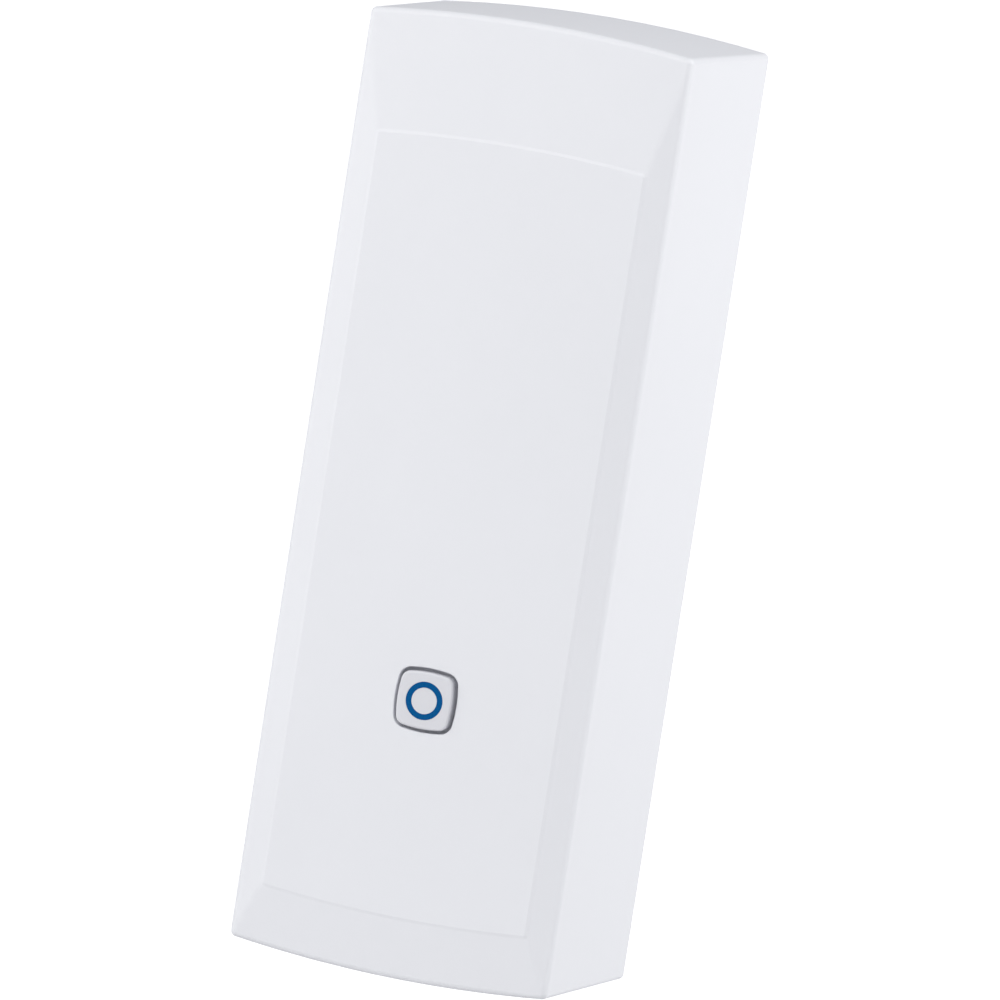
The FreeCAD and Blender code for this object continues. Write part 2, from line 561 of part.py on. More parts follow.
def chassis():
    """The inner moulding: a battery well open to the front, fixing tabs, and the circuit board's deck."""
    well = box(-WELL_OUTER_HALF, WELL_OUTER_HALF, WELL_BACK, WELL_FRONT, WELL_FOOT, WELL_TOP)
    well = well.cut(box(-WELL_INNER_HALF, WELL_INNER_HALF, WELL_FLOOR, WELL_FRONT + 1, BAY_BOTTOM, BAY_TOP))
    foot_front = max(WELL_FRONT, DECK_FRONT)
    foot = box(-WELL_OUTER_HALF, WELL_OUTER_HALF, WELL_BACK, foot_front, WELL_FOOT, BAY_BOTTOM)
    pieces = [well, foot] + saddles()
    for side in (-1, 1):
        near = side * (WELL_OUTER_HALF - WELL_WALL / 3)
        far = side * TAB_END
        pieces.append(box(min(near, far), max(near, far), TAB_DEPTH, TAB_DEPTH + TAB_THICKNESS,
                          TAB_Z - TAB_WIDTH / 2, TAB_Z + TAB_WIDTH / 2))
    deck = rounded_prism(0, (DECK_FOOT + WELL_FOOT) / 2, 2 * DECK_HALF_WIDTH, WELL_FOOT - DECK_FOOT, 2.5,
                         DECK_BACK, DECK_FRONT)
    pieces.append(deck)
    pieces += [peg(x, z, DECK_FRONT - 0.5, BOARD_BACK, BOSS_RADIUS) for x, z in BOARD_HOLES]
    for side in (-1, 1):
        web = box(side * WEB_X - WELL_WALL / 2, side * WEB_X + WELL_WALL / 2, WELL_BACK, DECK_BACK + 0.5,
                  WELL_FOOT - WEB_REACH, WELL_FOOT + 0.5)
        slope = Part.makeCylinder(WEB_REACH, 2 * WELL_WALL,
                                  Vector(side * WEB_X - WELL_WALL, -WELL_BACK, WELL_FOOT - WEB_REACH),
                                  Vector(1, 0, 0))
        pieces.append(web.cut(slope))
    body = joined(pieces)

    hole_radius = SCREW_SHANK_RADIUS + SCREW_HOLE_CLEARANCE
    cuts = [peg(x, z, DECK_BACK - 1, BOARD_BACK + 1, hole_radius) for x, z in BOARD_HOLES]
    cuts += [peg(x, z, TAB_DEPTH - 1, TAB_DEPTH + TAB_THICKNESS + 1, hole_radius) for x, z in TAB_HOLES]
    cuts.append(box(-LEAD_SLOT_WIDTH / 2, LEAD_SLOT_WIDTH / 2, DECK_BACK - 1, DECK_FRONT + 1,
                    WELL_FOOT - LEAD_SLOT_HEIGHT, WELL_FOOT))
    cuts.append(rounded_prism(0, BUTTON_Z, DECK_WINDOW_WIDTH, DECK_WINDOW_HEIGHT, 3.0,
                              DECK_BACK - 1, DECK_FRONT + 1))
    cuts += finger_notches() + terminal_slots()
    return body.cut(Part.makeCompound(cuts)).removeSplitter()


def saddles():
    """Cross ribs on the well's floor, hollowed for the rear cells."""
    ribs = []
    for share in (0.25, 0.75):
        level = BAY_BOTTOM + BAY_LENGTH * share
        rib = box(-WELL_INNER_HALF - 0.5, WELL_INNER_HALF + 0.5, WELL_FLOOR - 0.5, REAR_LAYER - 2,
                  level - SADDLE_THICKNESS / 2, level + SADDLE_THICKNESS / 2)
        for x in CELL_COLUMNS:
            rib = rib.cut(upright(x, REAR_LAYER, level - 5, level + 5, CELL_RADIUS + 0.15))
        ribs.append(rib)
    return ribs


def finger_notches():
    """Scallops in the well's side walls for lifting the cells out."""
    level = (BAY_BOTTOM + BAY_TOP) / 2
    start = Vector(-2 * WELL_OUTER_HALF, -(WELL_FRONT + NOTCH_OFFSET), level)
    return [Part.makeCylinder(NOTCH_RADIUS, 4 * WELL_OUTER_HALF, start, Vector(1, 0, 0))]


def terminal_slots():
    """Slots in the well's foot for the solder tabs of the two end terminals."""
    half_width = SOLDER_TAB_WIDTH / 2 + SLOT_CLEARANCE
    half_depth = CONTACT_THICKNESS / 2 + SLOT_CLEARANCE
    x = CELL_COLUMNS[0]
    return [box(x - half_width, x + half_width, depth - half_depth, depth + half_depth,
                WELL_FOOT - 1, BAY_BOTTOM + 1) for depth in CELL_LAYERS]


# ---------------------------------------------------------------- batteries and contacts
def cell(x, depth, up):
    """One AA cell, with its positive nub at the top when up is true."""
    low = BAY_BOTTOM + CONTACT_THICKNESS + (CONTACT_SPRING_LENGTH if up else BUMP_HEIGHT)
    can_length = CELL_LENGTH - NUB_LENGTH
    can_low = low if up else low + NUB_LENGTH
    can = upright(x, depth, can_low, can_low + can_length, CELL_RADIUS)
    can = can.makeFillet(CELL_ROUNDING, [e for e in can.Edges if e.Curve.TypeId == "Part::GeomCircle"])
    if up:
        nub = upright(x, depth, can_low + can_length - 0.5, low + CELL_LENGTH, NUB_RADIUS)
    else:
        nub = upright(x, depth, low, can_low + 0.5, NUB_RADIUS)
    return can.fuse(nub).removeSplitter()


# Column, layer and whether the positive end is up: a series chain that ends on the left at the foot.
CELL_ORDER = [(0, 1, True), (1, 1, False), (1, 0, True), (0, 0, False)]


def contact_plates():
    """The pressed plates at both ends of the well, with a bump under each positive nub."""
    half = CELL_RADIUS - CONTACT_MARGIN
    thick = CONTACT_THICKNESS
    left, right = CELL_COLUMNS
    rear, front = CELL_LAYERS
    plates = []
    for depth in CELL_LAYERS:
        plates.append((left - half, right + half, depth - half, depth + half, BAY_TOP - thick))
    plates.append((right - half, right + half, rear - half, front + half, BAY_BOTTOM))
    for depth in CELL_LAYERS:
        plates.append((left - half, left + half, depth - half, depth + half, BAY_BOTTOM))
    solids = []
    for x_low, x_high, depth_low, depth_high, level in plates:
        plate = box(x_low, x_high, depth_low, depth_high, level, level + thick)
        upper = level > BAY_BOTTOM
        for column, layer, up in CELL_ORDER:
            x, depth = CELL_COLUMNS[column], CELL_LAYERS[layer]
            on_plate = x_low < x < x_high and depth_low < depth < depth_high
            if on_plate and up == upper:
                base = level if upper else level + thick
                plate = plate.fuse(bump(x, depth, base, -1 if upper else 1))
        if not upper and x_high < 0:
            depth = (depth_low + depth_high) / 2
            plate = plate.fuse(box(left - SOLDER_TAB_WIDTH / 2, left + SOLDER_TAB_WIDTH / 2,
                                   depth - thick / 2, depth + thick / 2,
                                   WELL_FOOT - SOLDER_TAB_LENGTH, level + thick))
        solids.append(plate.removeSplitter())
    return Part.makeCompound(solids)


def bump(x, depth, level, way):
    """A dished bump that stands off a contact plate."""
    foot = Vector(x, -depth, level)
    return Part.makeCone(BUMP_RADIUS, BUMP_RADIUS * 0.6, BUMP_HEIGHT, foot, Vector(0, 0, way))


def contact_springs():
    """The conical springs under each cell's negative end."""
    springs = []
    for column, layer, up in CELL_ORDER:
        level = BAY_BOTTOM + CONTACT_THICKNESS if up else BAY_TOP - CONTACT_THICKNESS
        origin = Vector(CELL_COLUMNS[column], -CELL_LAYERS[layer], level)
        springs.append(coil(CONTACT_SPRING_BASE, CONTACT_SPRING_TIP, CONTACT_SPRING_LENGTH,
                            CONTACT_SPRING_TURNS, CONTACT_SPRING_WIRE, origin,
                            Vector(0, 0, 1 if up else -1)))
    return Part.makeCompound(springs)


# ---------------------------------------------------------------- circuit board and what is on it
RADIO_X = -6.5
RADIO_Z = BOARD_TOP - 12.0
HEADER_X = 8.0
HEADER_Z = BOARD_TOP - 4.0
HEADER_WIDTH = 6.0
HEADER_DEPTH = 4.4
HEADER_HEIGHT = 4.8
PLUG_OVERHANG = 2.4
LEAD_PITCH = 2.0
ANTENNA_X = BOARD_HALF_WIDTH - 1.6
ANTENNA_FOOT = BOARD_TOP - 9.0


def on_board(x, z, width, height, tall):
    """A block that stands on the circuit board's front."""
    return box(x - width / 2, x + width / 2, BOARD_FRONT, BOARD_FRONT + tall,
               z - height / 2, z + height / 2)


def circuit_board():
    """The board, with its fixing holes."""
    board = rounded_prism(0, (BOARD_TOP + BOARD_BOTTOM) / 2, 2 * BOARD_HALF_WIDTH, BOARD_TOP - BOARD_BOTTOM,
                          BOARD_CORNER_RADIUS, BOARD_BACK, BOARD_FRONT)
    for x, z in BOARD_HOLES:
        board = board.cut(peg(x, z, BOARD_BACK - 1, BOARD_FRONT + 1,
                              SCREW_SHANK_RADIUS + BOARD_HOLE_CLEARANCE))
    return board.cut(peg(ANTENNA_X, ANTENNA_FOOT, BOARD_BACK - 1, BOARD_FRONT + 1, ANTENNA_RADIUS + 0.1))


def radio_module():
    """The radio's own small board under a shield can."""
    carrier = on_board(RADIO_X, RADIO_Z, 15.0, 17.0, 0.8)
    can = on_board(RADIO_X, RADIO_Z - 0.6, 13.0, 13.0, 2.8)
    can = can.makeFillet(0.5, [e for e in can.Edges if e.BoundBox.YMax < -(BOARD_FRONT + 2.79)
                               or abs(e.tangentAt(e.FirstParameter).y) > 0.99])
    return carrier.fuse(can).removeSplitter()


def microcontroller():
    """The main chip, with leads on all four sides."""
    x_mid, z_mid, size = 9.5, BUTTON_Z - 18.6, 7.0
    package = on_board(x_mid, z_mid, size, size, 1.3)
    pieces = [package.makeChamfer(0.2, edges_at(package, BOARD_FRONT + 1.3))]
    for step in range(8):
        shift = (step - 3.5) * 0.75
        for side in (-1, 1):
            reach = side * (size / 2 + 0.5)
            pieces.append(on_board(x_mid + shift, z_mid + reach, 0.32, 1.2, 0.25))
            pieces.append(on_board(x_mid + reach, z_mid + shift, 1.2, 0.32, 0.25))
    return joined(pieces)


def capacitors():
    """Two upright electrolytic cans."""
    cans = []
    for x, z in ((-15.5, BUTTON_Z - 10.6), (14.5, BOARD_TOP - 15.5)):
        can = peg(x, z, BOARD_FRONT, BOARD_FRONT + 5.4, 2.5)
        cans.append(can.makeFillet(0.4, edges_at(can, BOARD_FRONT + 5.4)))
    return Part.makeCompound(cans)


def chip_parts():
    """The small chip resistors and capacitors, set out in short rows."""
    parts = []
    rows = ((-16.0, BUTTON_Z - 15.1, 5), (-16.0, BUTTON_Z - 18.6, 5), (-4.5, BUTTON_Z - 24.6, 4),
            (6.0, BOARD_TOP - 8.5, 3), (6.0, BOARD_TOP - 12.0, 3))
    for x, z, count in rows:
        for step in range(count):
            parts.append(on_board(x + 2.2 * step, z, 1.0, 1.8, 0.7))
    return Part.makeCompound(parts)


def status_leds():
    """Four small lights round the switch, behind the guide's light holes."""
    return Part.makeCompound([on_board(x, z, LED_SIZE, LED_SIZE, 0.9) for x, z in LED_PLACES])


def switch_body():
    """The push switch under the button's stem."""
    body = on_board(0, BUTTON_Z, SWITCH_SIZE, SWITCH_SIZE, SWITCH_BODY_HEIGHT)
    body = body.makeFillet(0.4, [e for e in body.Edges if abs(e.tangentAt(e.FirstParameter).y) > 0.99])
    bore = peg(0, BUTTON_Z, SWITCH_TOP - SWITCH_TRAVEL - 0.6, SWITCH_TOP + 1, PLUNGER_RADIUS + 0.05)
    return body.cut(bore)


def switch_plunger():
    """The switch's moving plunger."""
    plunger = peg(0, BUTTON_Z, SWITCH_TOP - 0.5, PLUNGER_TIP, PLUNGER_RADIUS)
    return plunger.makeFillet(0.2, edges_at(plunger, PLUNGER_TIP))


def board_header():
    """The battery lead's socket on the board."""
    shell = on_board(HEADER_X, HEADER_Z, HEADER_WIDTH, HEADER_DEPTH, HEADER_HEIGHT)
    mouth = box(HEADER_X - HEADER_WIDTH / 2 + 0.6, HEADER_X + HEADER_WIDTH / 2 - 0.6,
                BOARD_FRONT + 0.6, BOARD_FRONT + HEADER_HEIGHT - 0.6,
                HEADER_Z - HEADER_DEPTH / 2 + 0.6, HEADER_Z + HEADER_DEPTH / 2 + 1)
    return shell.cut(mouth)


def lead_plug():
    """The plug on the battery leads, pushed into the header."""
    width = HEADER_WIDTH / 2 - 0.7
    low = HEADER_Z - HEADER_DEPTH / 2 + 0.8
    plug = box(HEADER_X - width, HEADER_X + width, BOARD_FRONT + 0.7, BOARD_FRONT + HEADER_HEIGHT - 0.7,
               low, HEADER_Z + HEADER_DEPTH / 2 + PLUG_OVERHANG)
    return plug.makeFillet(0.3, [e for e in plug.Edges if abs(e.tangentAt(e.FirstParameter).z) > 0.99])


def battery_lead(side, terminal_depth):
    """One lead, from a terminal's solder tab under the well to the plug, through the deck's slot."""
    plug_top = HEADER_Z + HEADER_DEPTH / 2 + PLUG_OVERHANG
    plug_depth = BOARD_FRONT + HEADER_HEIGHT / 2
    plug_x = HEADER_X + side * LEAD_PITCH / 2
    tab_x = CELL_COLUMNS[0]
    tab_depth = terminal_depth + CONTACT_THICKNESS / 2 + LEAD_RADIUS
    solder_z = WELL_FOOT - SOLDER_TAB_LENGTH + 0.4
    points = [Vector(tab_x, -tab_depth, solder_z), Vector(tab_x, -tab_depth, LEAD_LEVEL)]
    if terminal_depth < DECK_BACK - 4:
        points.append(Vector(plug_x, -(tab_depth + 3), LEAD_LEVEL))
    points += [Vector(plug_x, -plug_depth, LEAD_LEVEL), Vector(plug_x, -plug_depth, plug_top)]
    return round_wire(points, LEAD_BEND, LEAD_RADIUS)


def antenna():
    """The aerial wire, from the board up beside the battery well."""
    lift = BOARD_FRONT + ANTENNA_LIFT
    points = [Vector(ANTENNA_X, -BOARD_BACK, ANTENNA_FOOT), Vector(ANTENNA_X, -lift, ANTENNA_FOOT),
              Vector(ANTENNA_X, -lift, BOARD_TOP + ANTENNA_REACH)]
    return round_wire(points, 2.0, ANTENNA_RADIUS)


# ---------------------------------------------------------------- the whole model
def nodes():
    """Every sub-part by its node name."""
    model = {
        "front_cover": front_cover(),
        "button_guide": button_guide(),
        "guide_screws": screws_from_behind(),
        "button_cap": button_cap(),
        "light_ring": light_ring(),
        "button_core": button_core(),
        "return_spring": return_spring(),
        "base_plate": base_plate(),
        "chassis": chassis(),
        "chassis_screws": screws(TAB_HOLES, TAB_DEPTH + TAB_THICKNESS, TAB_SCREW_LENGTH),
        "board_screws": screws(BOARD_HOLES, BOARD_FRONT, BOARD_FRONT - DECK_BACK + SCREW_BITE),
        "contact_plates": contact_plates(),
        "contact_springs": contact_springs(),
        "circuit_board": circuit_board(),
        "radio_module": radio_module(),
        "microcontroller": microcontroller(),
        "capacitors": capacitors(),
        "chip_parts": chip_parts(),
        "status_leds": status_leds(),
        "switch_body": switch_body(),
        "switch_plunger": switch_plunger(),
        "board_header": board_header(),
        "lead_plug": lead_plug(),
        "lead_minus": battery_lead(-1, CELL_LAYERS[1]),
        "lead_plus": battery_lead(1, CELL_LAYERS[0]),
        "antenna_wire": antenna(),
    }
    for number, (column, layer, up) in enumerate(CELL_ORDER, 1):
        model[f"cell_{number}"] = cell(CELL_COLUMNS[column], CELL_LAYERS[layer], up)
    return model


def screws_from_behind():
    """The two screws that hold the guide to the cover, with their heads towards the wall."""
    turned = []
    for x, z in GUIDE_HOLES:
        part = screw(x, z, 0, GUIDE_SCREW_LENGTH)
        part.rotate(Vector(x, 0, z), Vector(0, 0, 1), 180)
        part.translate(Vector(0, -GUIDE_BACK, 0))
        turned.append(part)
    return Part.makeCompound(turned)


def main():
    """Writes one STEP file for each node."""
    os.makedirs("parts", exist_ok=True)
    for name, shape in nodes().items():
        if not shape.isValid() or not shape.Solids:
            raise ValueError(f"{name} isn't a valid solid")
        shape.exportStep(os.path.join("parts", name + ".step"))
        print(f"{name}: {len(shape.Solids)} solids, {shape.Volume:.1f} mm3")


main()
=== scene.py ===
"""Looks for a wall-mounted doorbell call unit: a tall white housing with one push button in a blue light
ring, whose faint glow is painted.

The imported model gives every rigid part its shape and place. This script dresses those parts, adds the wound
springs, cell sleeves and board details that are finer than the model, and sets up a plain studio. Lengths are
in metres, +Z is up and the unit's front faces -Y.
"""
import logging
import math
from dataclasses import dataclass
from enum import Enum

import bmesh
import bpy
from mathutils import Matrix, Vector


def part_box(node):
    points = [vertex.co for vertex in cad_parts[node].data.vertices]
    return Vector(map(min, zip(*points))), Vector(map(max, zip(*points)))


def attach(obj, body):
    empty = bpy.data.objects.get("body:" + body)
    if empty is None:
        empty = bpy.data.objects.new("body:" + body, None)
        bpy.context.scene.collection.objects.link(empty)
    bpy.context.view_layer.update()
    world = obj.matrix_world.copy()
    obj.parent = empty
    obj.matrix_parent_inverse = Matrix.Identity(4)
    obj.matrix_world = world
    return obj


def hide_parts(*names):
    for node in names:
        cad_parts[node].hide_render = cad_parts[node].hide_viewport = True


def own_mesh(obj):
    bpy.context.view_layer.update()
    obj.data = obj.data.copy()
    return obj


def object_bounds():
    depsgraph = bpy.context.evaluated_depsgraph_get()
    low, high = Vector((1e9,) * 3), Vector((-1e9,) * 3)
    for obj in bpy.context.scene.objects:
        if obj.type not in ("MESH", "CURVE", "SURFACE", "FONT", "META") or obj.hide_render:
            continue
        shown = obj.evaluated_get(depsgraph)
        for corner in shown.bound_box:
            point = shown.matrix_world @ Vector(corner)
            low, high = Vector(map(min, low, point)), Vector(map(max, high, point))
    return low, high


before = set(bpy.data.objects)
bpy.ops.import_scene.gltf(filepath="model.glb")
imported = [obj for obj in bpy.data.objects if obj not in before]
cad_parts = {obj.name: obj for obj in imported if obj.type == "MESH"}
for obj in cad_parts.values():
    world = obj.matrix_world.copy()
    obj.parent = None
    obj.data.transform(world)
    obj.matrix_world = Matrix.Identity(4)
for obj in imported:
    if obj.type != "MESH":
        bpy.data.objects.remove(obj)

MM = 0.001
CAD_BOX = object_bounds()
LOG = logging.getLogger("doorbell")

Box = tuple[Vector, Vector]


class Pole(Enum):
    """The end of a cell that carries its positive nub."""

    UP = 1
    DOWN = -1


class Texture(Enum):
    """The texture cut into a mould, as the size and height of its grit in millimetres."""

    FINE_SATIN = (0.32, 0.010)
    PLAIN_TOOLED = (0.60, 0.006)
    COARSE_SPARK = (0.45, 0.022)


# ------------------------------------------------------------------ helpers
def linear(code: str, alpha: float = 1.0) -> tuple[float, float, float, float]:
    """Turns an sRGB hex colour into linear values.

    Args:
        code: Six hex digits.
        alpha: The fourth value to return.

    Returns:
        Red, green, blue and alpha.
    """
    channels = [int(code[place:place + 2], 16) / 255 for place in (0, 2, 4)]
    red, green, blue = (c / 12.92 if c <= 0.04045 else ((c + 0.055) / 1.055) ** 2.4 for c in channels)
    return red, green, blue, alpha


def add_node(tree: bpy.types.NodeTree, kind: str, values: dict | None = None,
             links: dict | None = None, **settings: object) -> bpy.types.Node:
    """Adds one node with its settings, constants and links.

    Args:
        tree: The node tree that gets the node.
        kind: The node's type name.
        values: Constants by input name or number.
        links: Output sockets by the input name or number that they feed.
        settings: The node's own properties.

    Returns:
        The new node.
    """
    node = tree.nodes.new(kind)
    for name, setting in settings.items():
        setattr(node, name, setting)
    for key, value in (values or {}).items():
        node.inputs[key].default_value = value
    for key, source in (links or {}).items():
        tree.links.new(source, node.inputs[key])
    return node


def blank_material(name: str) -> tuple[bpy.types.Material, bpy.types.NodeTree]:
    """Makes a material whose node tree is empty.

    Args:
        name: The material's name.

    Returns:
        The material and its node tree.
    """
    material = bpy.data.materials.new(name)
    material.use_nodes = True
    material.node_tree.nodes.clear()
    return material, material.node_tree


def dress(node: str, material: bpy.types.Material) -> None:
    """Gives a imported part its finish.

    Args:
        node: The part's node name.
        material: The finish to assign.
    """
    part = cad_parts[node]
    if not part.material_slots:
        part.data.materials.append(material)
    for slot in part.material_slots:
        slot.material = material
    LOG.info("%s is finished in %s", node, material.name)


def islands(node: str) -> list[Box]:
    """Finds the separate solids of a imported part.

    Args:
        node: The part's node name.

    Returns:
        Each solid's lowest and highest corners, in order of height and then of X.
    """
    copy = bmesh.new()
    copy.from_mesh(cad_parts[node].data)
    bmesh.ops.remove_doubles(copy, verts=copy.verts, dist=1e-6)
    waiting = set(copy.verts)
    boxes: list[Box] = []
    while waiting:
        front = [waiting.pop()]
        low, high = front[0].co.copy(), front[0].co.copy()
        while front:
            vert = front.pop()
            low = Vector(map(min, low, vert.co))
            high = Vector(map(max, high, vert.co))
            for edge in vert.link_edges:
                other = edge.other_vert(vert)
                if other in waiting:
                    waiting.remove(other)
                    front.append(other)
        boxes.append((low, high))
    copy.free()
    return sorted(boxes, key=lambda pair: (round(pair[0].z, 5), round(pair[0].x, 5)))


def corners(node: str) -> Box:
    """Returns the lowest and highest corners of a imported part."""
    low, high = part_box(node)
    return Vector(low), Vector(high)


def middle(box: Box) -> Vector:
    """Returns the centre of a box."""
    return (box[0] + box[1]) / 2


def finish_piece(shape: bmesh.types.BMesh, name: str, material: bpy.types.Material, body: str,
                 smooth: bool = True) -> bpy.types.Object:
    """Turns a bmesh into a finished piece that rides on a body.

    Args:
        shape: The piece's shape, already in place. It is freed.
        name: The piece's name.
        material: Its finish.
        body: The body that it moves with.
        smooth: Whether its faces are shaded smooth.

    Returns:
        The new object.
    """
    bmesh.ops.recalc_face_normals(shape, faces=shape.faces)
    for face in shape.faces:
        face.smooth = smooth
    mesh = bpy.data.meshes.new(name)
    shape.to_mesh(mesh)
    shape.free()
    mesh.materials.append(material)
    piece = bpy.data.objects.new(name, mesh)
    bpy.context.scene.collection.objects.link(piece)
    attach(piece, body)
    LOG.info("%s rides on %s", name, body)
    return piece


def add_bar(shape: bmesh.types.BMesh, low: Vector, high: Vector, bevel: float, segments: int = 2) -> None:
    """Adds a block with bevelled edges between two corners.

    Args:
        shape: The bmesh that gets the block.
        low: Its lowest corner.
        high: Its highest corner.
        bevel: The width of its bevels.
        segments: The number of steps in each bevel.
    """
    size = high - low
    place = Matrix.Translation((low + high) / 2) @ Matrix.Diagonal((*size, 1))
    verts = bmesh.ops.create_cube(shape, size=1, matrix=place)["verts"]
    edges = list({edge for vert in verts for edge in vert.link_edges})
    bmesh.ops.bevel(shape, geom=edges, offset=bevel, offset_type="OFFSET", affect="EDGES",
                    segments=segments, profile=0.5, material=-1)


def add_turned(shape: bmesh.types.BMesh, outline: list[tuple[float, float]], place: Matrix,
               steps: int = 48) -> None:
    """Adds a solid of revolution from a closed outline.

    Args:
        shape: The bmesh that gets the solid.
        outline: Radius and height of each corner. The last corner joins the first.
        place: Turns the solid's own Z axis and origin into their place.
        steps: The number of steps round the axis.
    """
    verts = [shape.verts.new((radius, 0, height)) for radius, height in outline]
    edges = [shape.edges.new(pair) for pair in zip(verts, verts[1:] + verts[:1])]
    before = set(shape.verts) - set(verts)
    bmesh.ops.spin(shape, geom=verts + edges, cent=(0, 0, 0), axis=(0, 0, 1), dvec=(0, 0, 0),
                   angle=2 * math.pi, steps=steps, use_merge=True, use_duplicate=False)
    new = [vert for vert in shape.verts if vert not in before]
    bmesh.ops.transform(shape, matrix=place, verts=new)


# ------------------------------------------------------------------ finishes
@dataclass(frozen=True)
class MouldedPlastic:
    """Injection-moulded plastic with the mould's own texture.

    Attributes:
        name: The material's name.
        colour: Its sRGB colour.
        shade: The slightly darker sRGB colour of its faint mottling.
        roughness: The mean roughness.
        texture: The texture that the mould leaves.
        coat: The weight of a clear gloss over it.
        flow: The length of its flow marks.
        spread: How far the roughness strays to either side of its mean.
    """

    name: str
    colour: str
    shade: str
    roughness: float
    texture: Texture = Texture.FINE_SATIN
    coat: float = 0.0
    flow: float = 30 * MM
    spread: float = 0.05

    def build(self) -> bpy.types.Material:
        """Builds the material.

        Returns:
            The new material.
        """
        grit, height = self.texture.value
        material, tree = blank_material(self.name)
        place = add_node(tree, "ShaderNodeTexCoord").outputs["Object"]
        # Flow marks tint the surface by about one part in a hundred.
        flow = add_node(tree, "ShaderNodeTexNoise", {"Scale": 1 / self.flow, "Detail": 3.0},
                        {"Vector": place})
        tint = add_node(tree, "ShaderNodeMix", {6: linear(self.colour), 7: linear(self.shade)},
                        {0: flow.outputs["Fac"]}, data_type="RGBA")
        # The mould's grit breaks the surface into fine satin sparkle.
        grain = {"Scale": 1 / (grit * MM), "Detail": 2.0, "Roughness": 0.6}
        fine = add_node(tree, "ShaderNodeTexNoise", grain, {"Vector": place})
        limits = {3: self.roughness - self.spread, 4: self.roughness + self.spread}
        gloss = add_node(tree, "ShaderNodeMapRange", limits, {0: fine.outputs["Fac"]})
        bump = add_node(tree, "ShaderNodeBump", {"Strength": 1.0, "Distance": height * MM},
                        {"Height": fine.outputs["Fac"]})
        surface = add_node(tree, "ShaderNodeBsdfPrincipled",
                           {"IOR": 1.52, "Coat Weight": self.coat, "Coat Roughness": 0.12},
                           {"Base Color": tint.outputs[2], "Roughness": gloss.outputs[0],
                            "Normal": bump.outputs["Normal"]})
        add_node(tree, "ShaderNodeOutputMaterial", links={"Surface": surface.outputs["BSDF"]})
        return material


@dataclass(frozen=True)
class PlatedMetal:
    """Plated or bare metal with fine drawing marks.

    Attributes:
        name: The material's name.
        colour: Its sRGB colour.
        roughness: The mean roughness.
        mark: The spacing of its marks in millimetres.
        stretch: How much longer than wide the marks are along Z.
        smoother: How far the roughness falls below its mean.
        duller: How far it rises above its mean in the marks.
        depth: The depth of the marks.
    """

    name: str
    colour: str
    roughness: float
    mark: float = 0.15
    stretch: float = 1.0
    smoother: float = 0.06
    duller: float = 0.10
    depth: float = 0.004 * MM

    def build(self) -> bpy.types.Material:
        """Builds the material.

        Returns:
            The new material.
        """
        material, tree = blank_material(self.name)
        place = add_node(tree, "ShaderNodeTexCoord").outputs["Object"]
        drawn = add_node(tree, "ShaderNodeMapping", {"Scale": (1, 1, 1 / self.stretch)}, {"Vector": place})
        marks = add_node(tree, "ShaderNodeTexNoise", {"Scale": 1 / (self.mark * MM), "Detail": 2.0},
                         {"Vector": drawn.outputs["Vector"]})
        limits = {3: self.roughness - self.smoother, 4: self.roughness + self.duller}
        gloss = add_node(tree, "ShaderNodeMapRange", limits, {0: marks.outputs["Fac"]})
        bump = add_node(tree, "ShaderNodeBump", {"Strength": 0.4, "Distance": self.depth},
                        {"Height": marks.outputs["Fac"]})
        surface = add_node(tree, "ShaderNodeBsdfPrincipled",
                           {"Base Color": linear(self.colour), "Metallic": 1.0},
                           {"Roughness": gloss.outputs[0], "Normal": bump.outputs["Normal"]})
        add_node(tree, "ShaderNodeOutputMaterial", links={"Surface": surface.outputs["BSDF"]})
        return material


@dataclass(frozen=True)
class LightGuide:
    """Blue polycarbonate, the button's light pipe, with a faint painted glow that no lamp behind it gives.

    Attributes:
        name: The material's name.
        colour: Its sRGB colour by daylight.
        glow: The sRGB colour of its faint painted glow, an emission that no lamp gives.
        strength: The strength of that painted glow.
        haze: The size of the faint clouds in its polish.
        gloss: The least and the greatest roughness of that polish.
    """

    name: str
    colour: str
    glow: str
    strength: float
    haze: float = 0.5 * MM
    gloss: tuple[float, float] = (0.22, 0.34)

    def build(self) -> bpy.types.Material:
        """Builds the material.

        Returns:
            The new material.
        """
        material, tree = blank_material(self.name)
        place = add_node(tree, "ShaderNodeTexCoord").outputs["Object"]
        haze = add_node(tree, "ShaderNodeTexNoise", {"Scale": 1 / self.haze, "Detail": 2.0},
                        {"Vector": place})
        gloss = add_node(tree, "ShaderNodeMapRange", {3: self.gloss[0], 4: self.gloss[1]},
                         {0: haze.outputs["Fac"]})
        # A low specular level keeps the blue deep under wide soft lights. The emission is a painted glow: no
        # lamp lights the ring.
        surface = add_node(tree, "ShaderNodeBsdfPrincipled",
                           {"Base Color": linear(self.colour), "IOR": 1.58, "Specular IOR Level": 0.06,
                            "Emission Color": linear(self.glow), "Emission Strength": self.strength},
                           {"Roughness": gloss.outputs[0]})
        add_node(tree, "ShaderNodeOutputMaterial", links={"Surface": surface.outputs["BSDF"]})
        return material


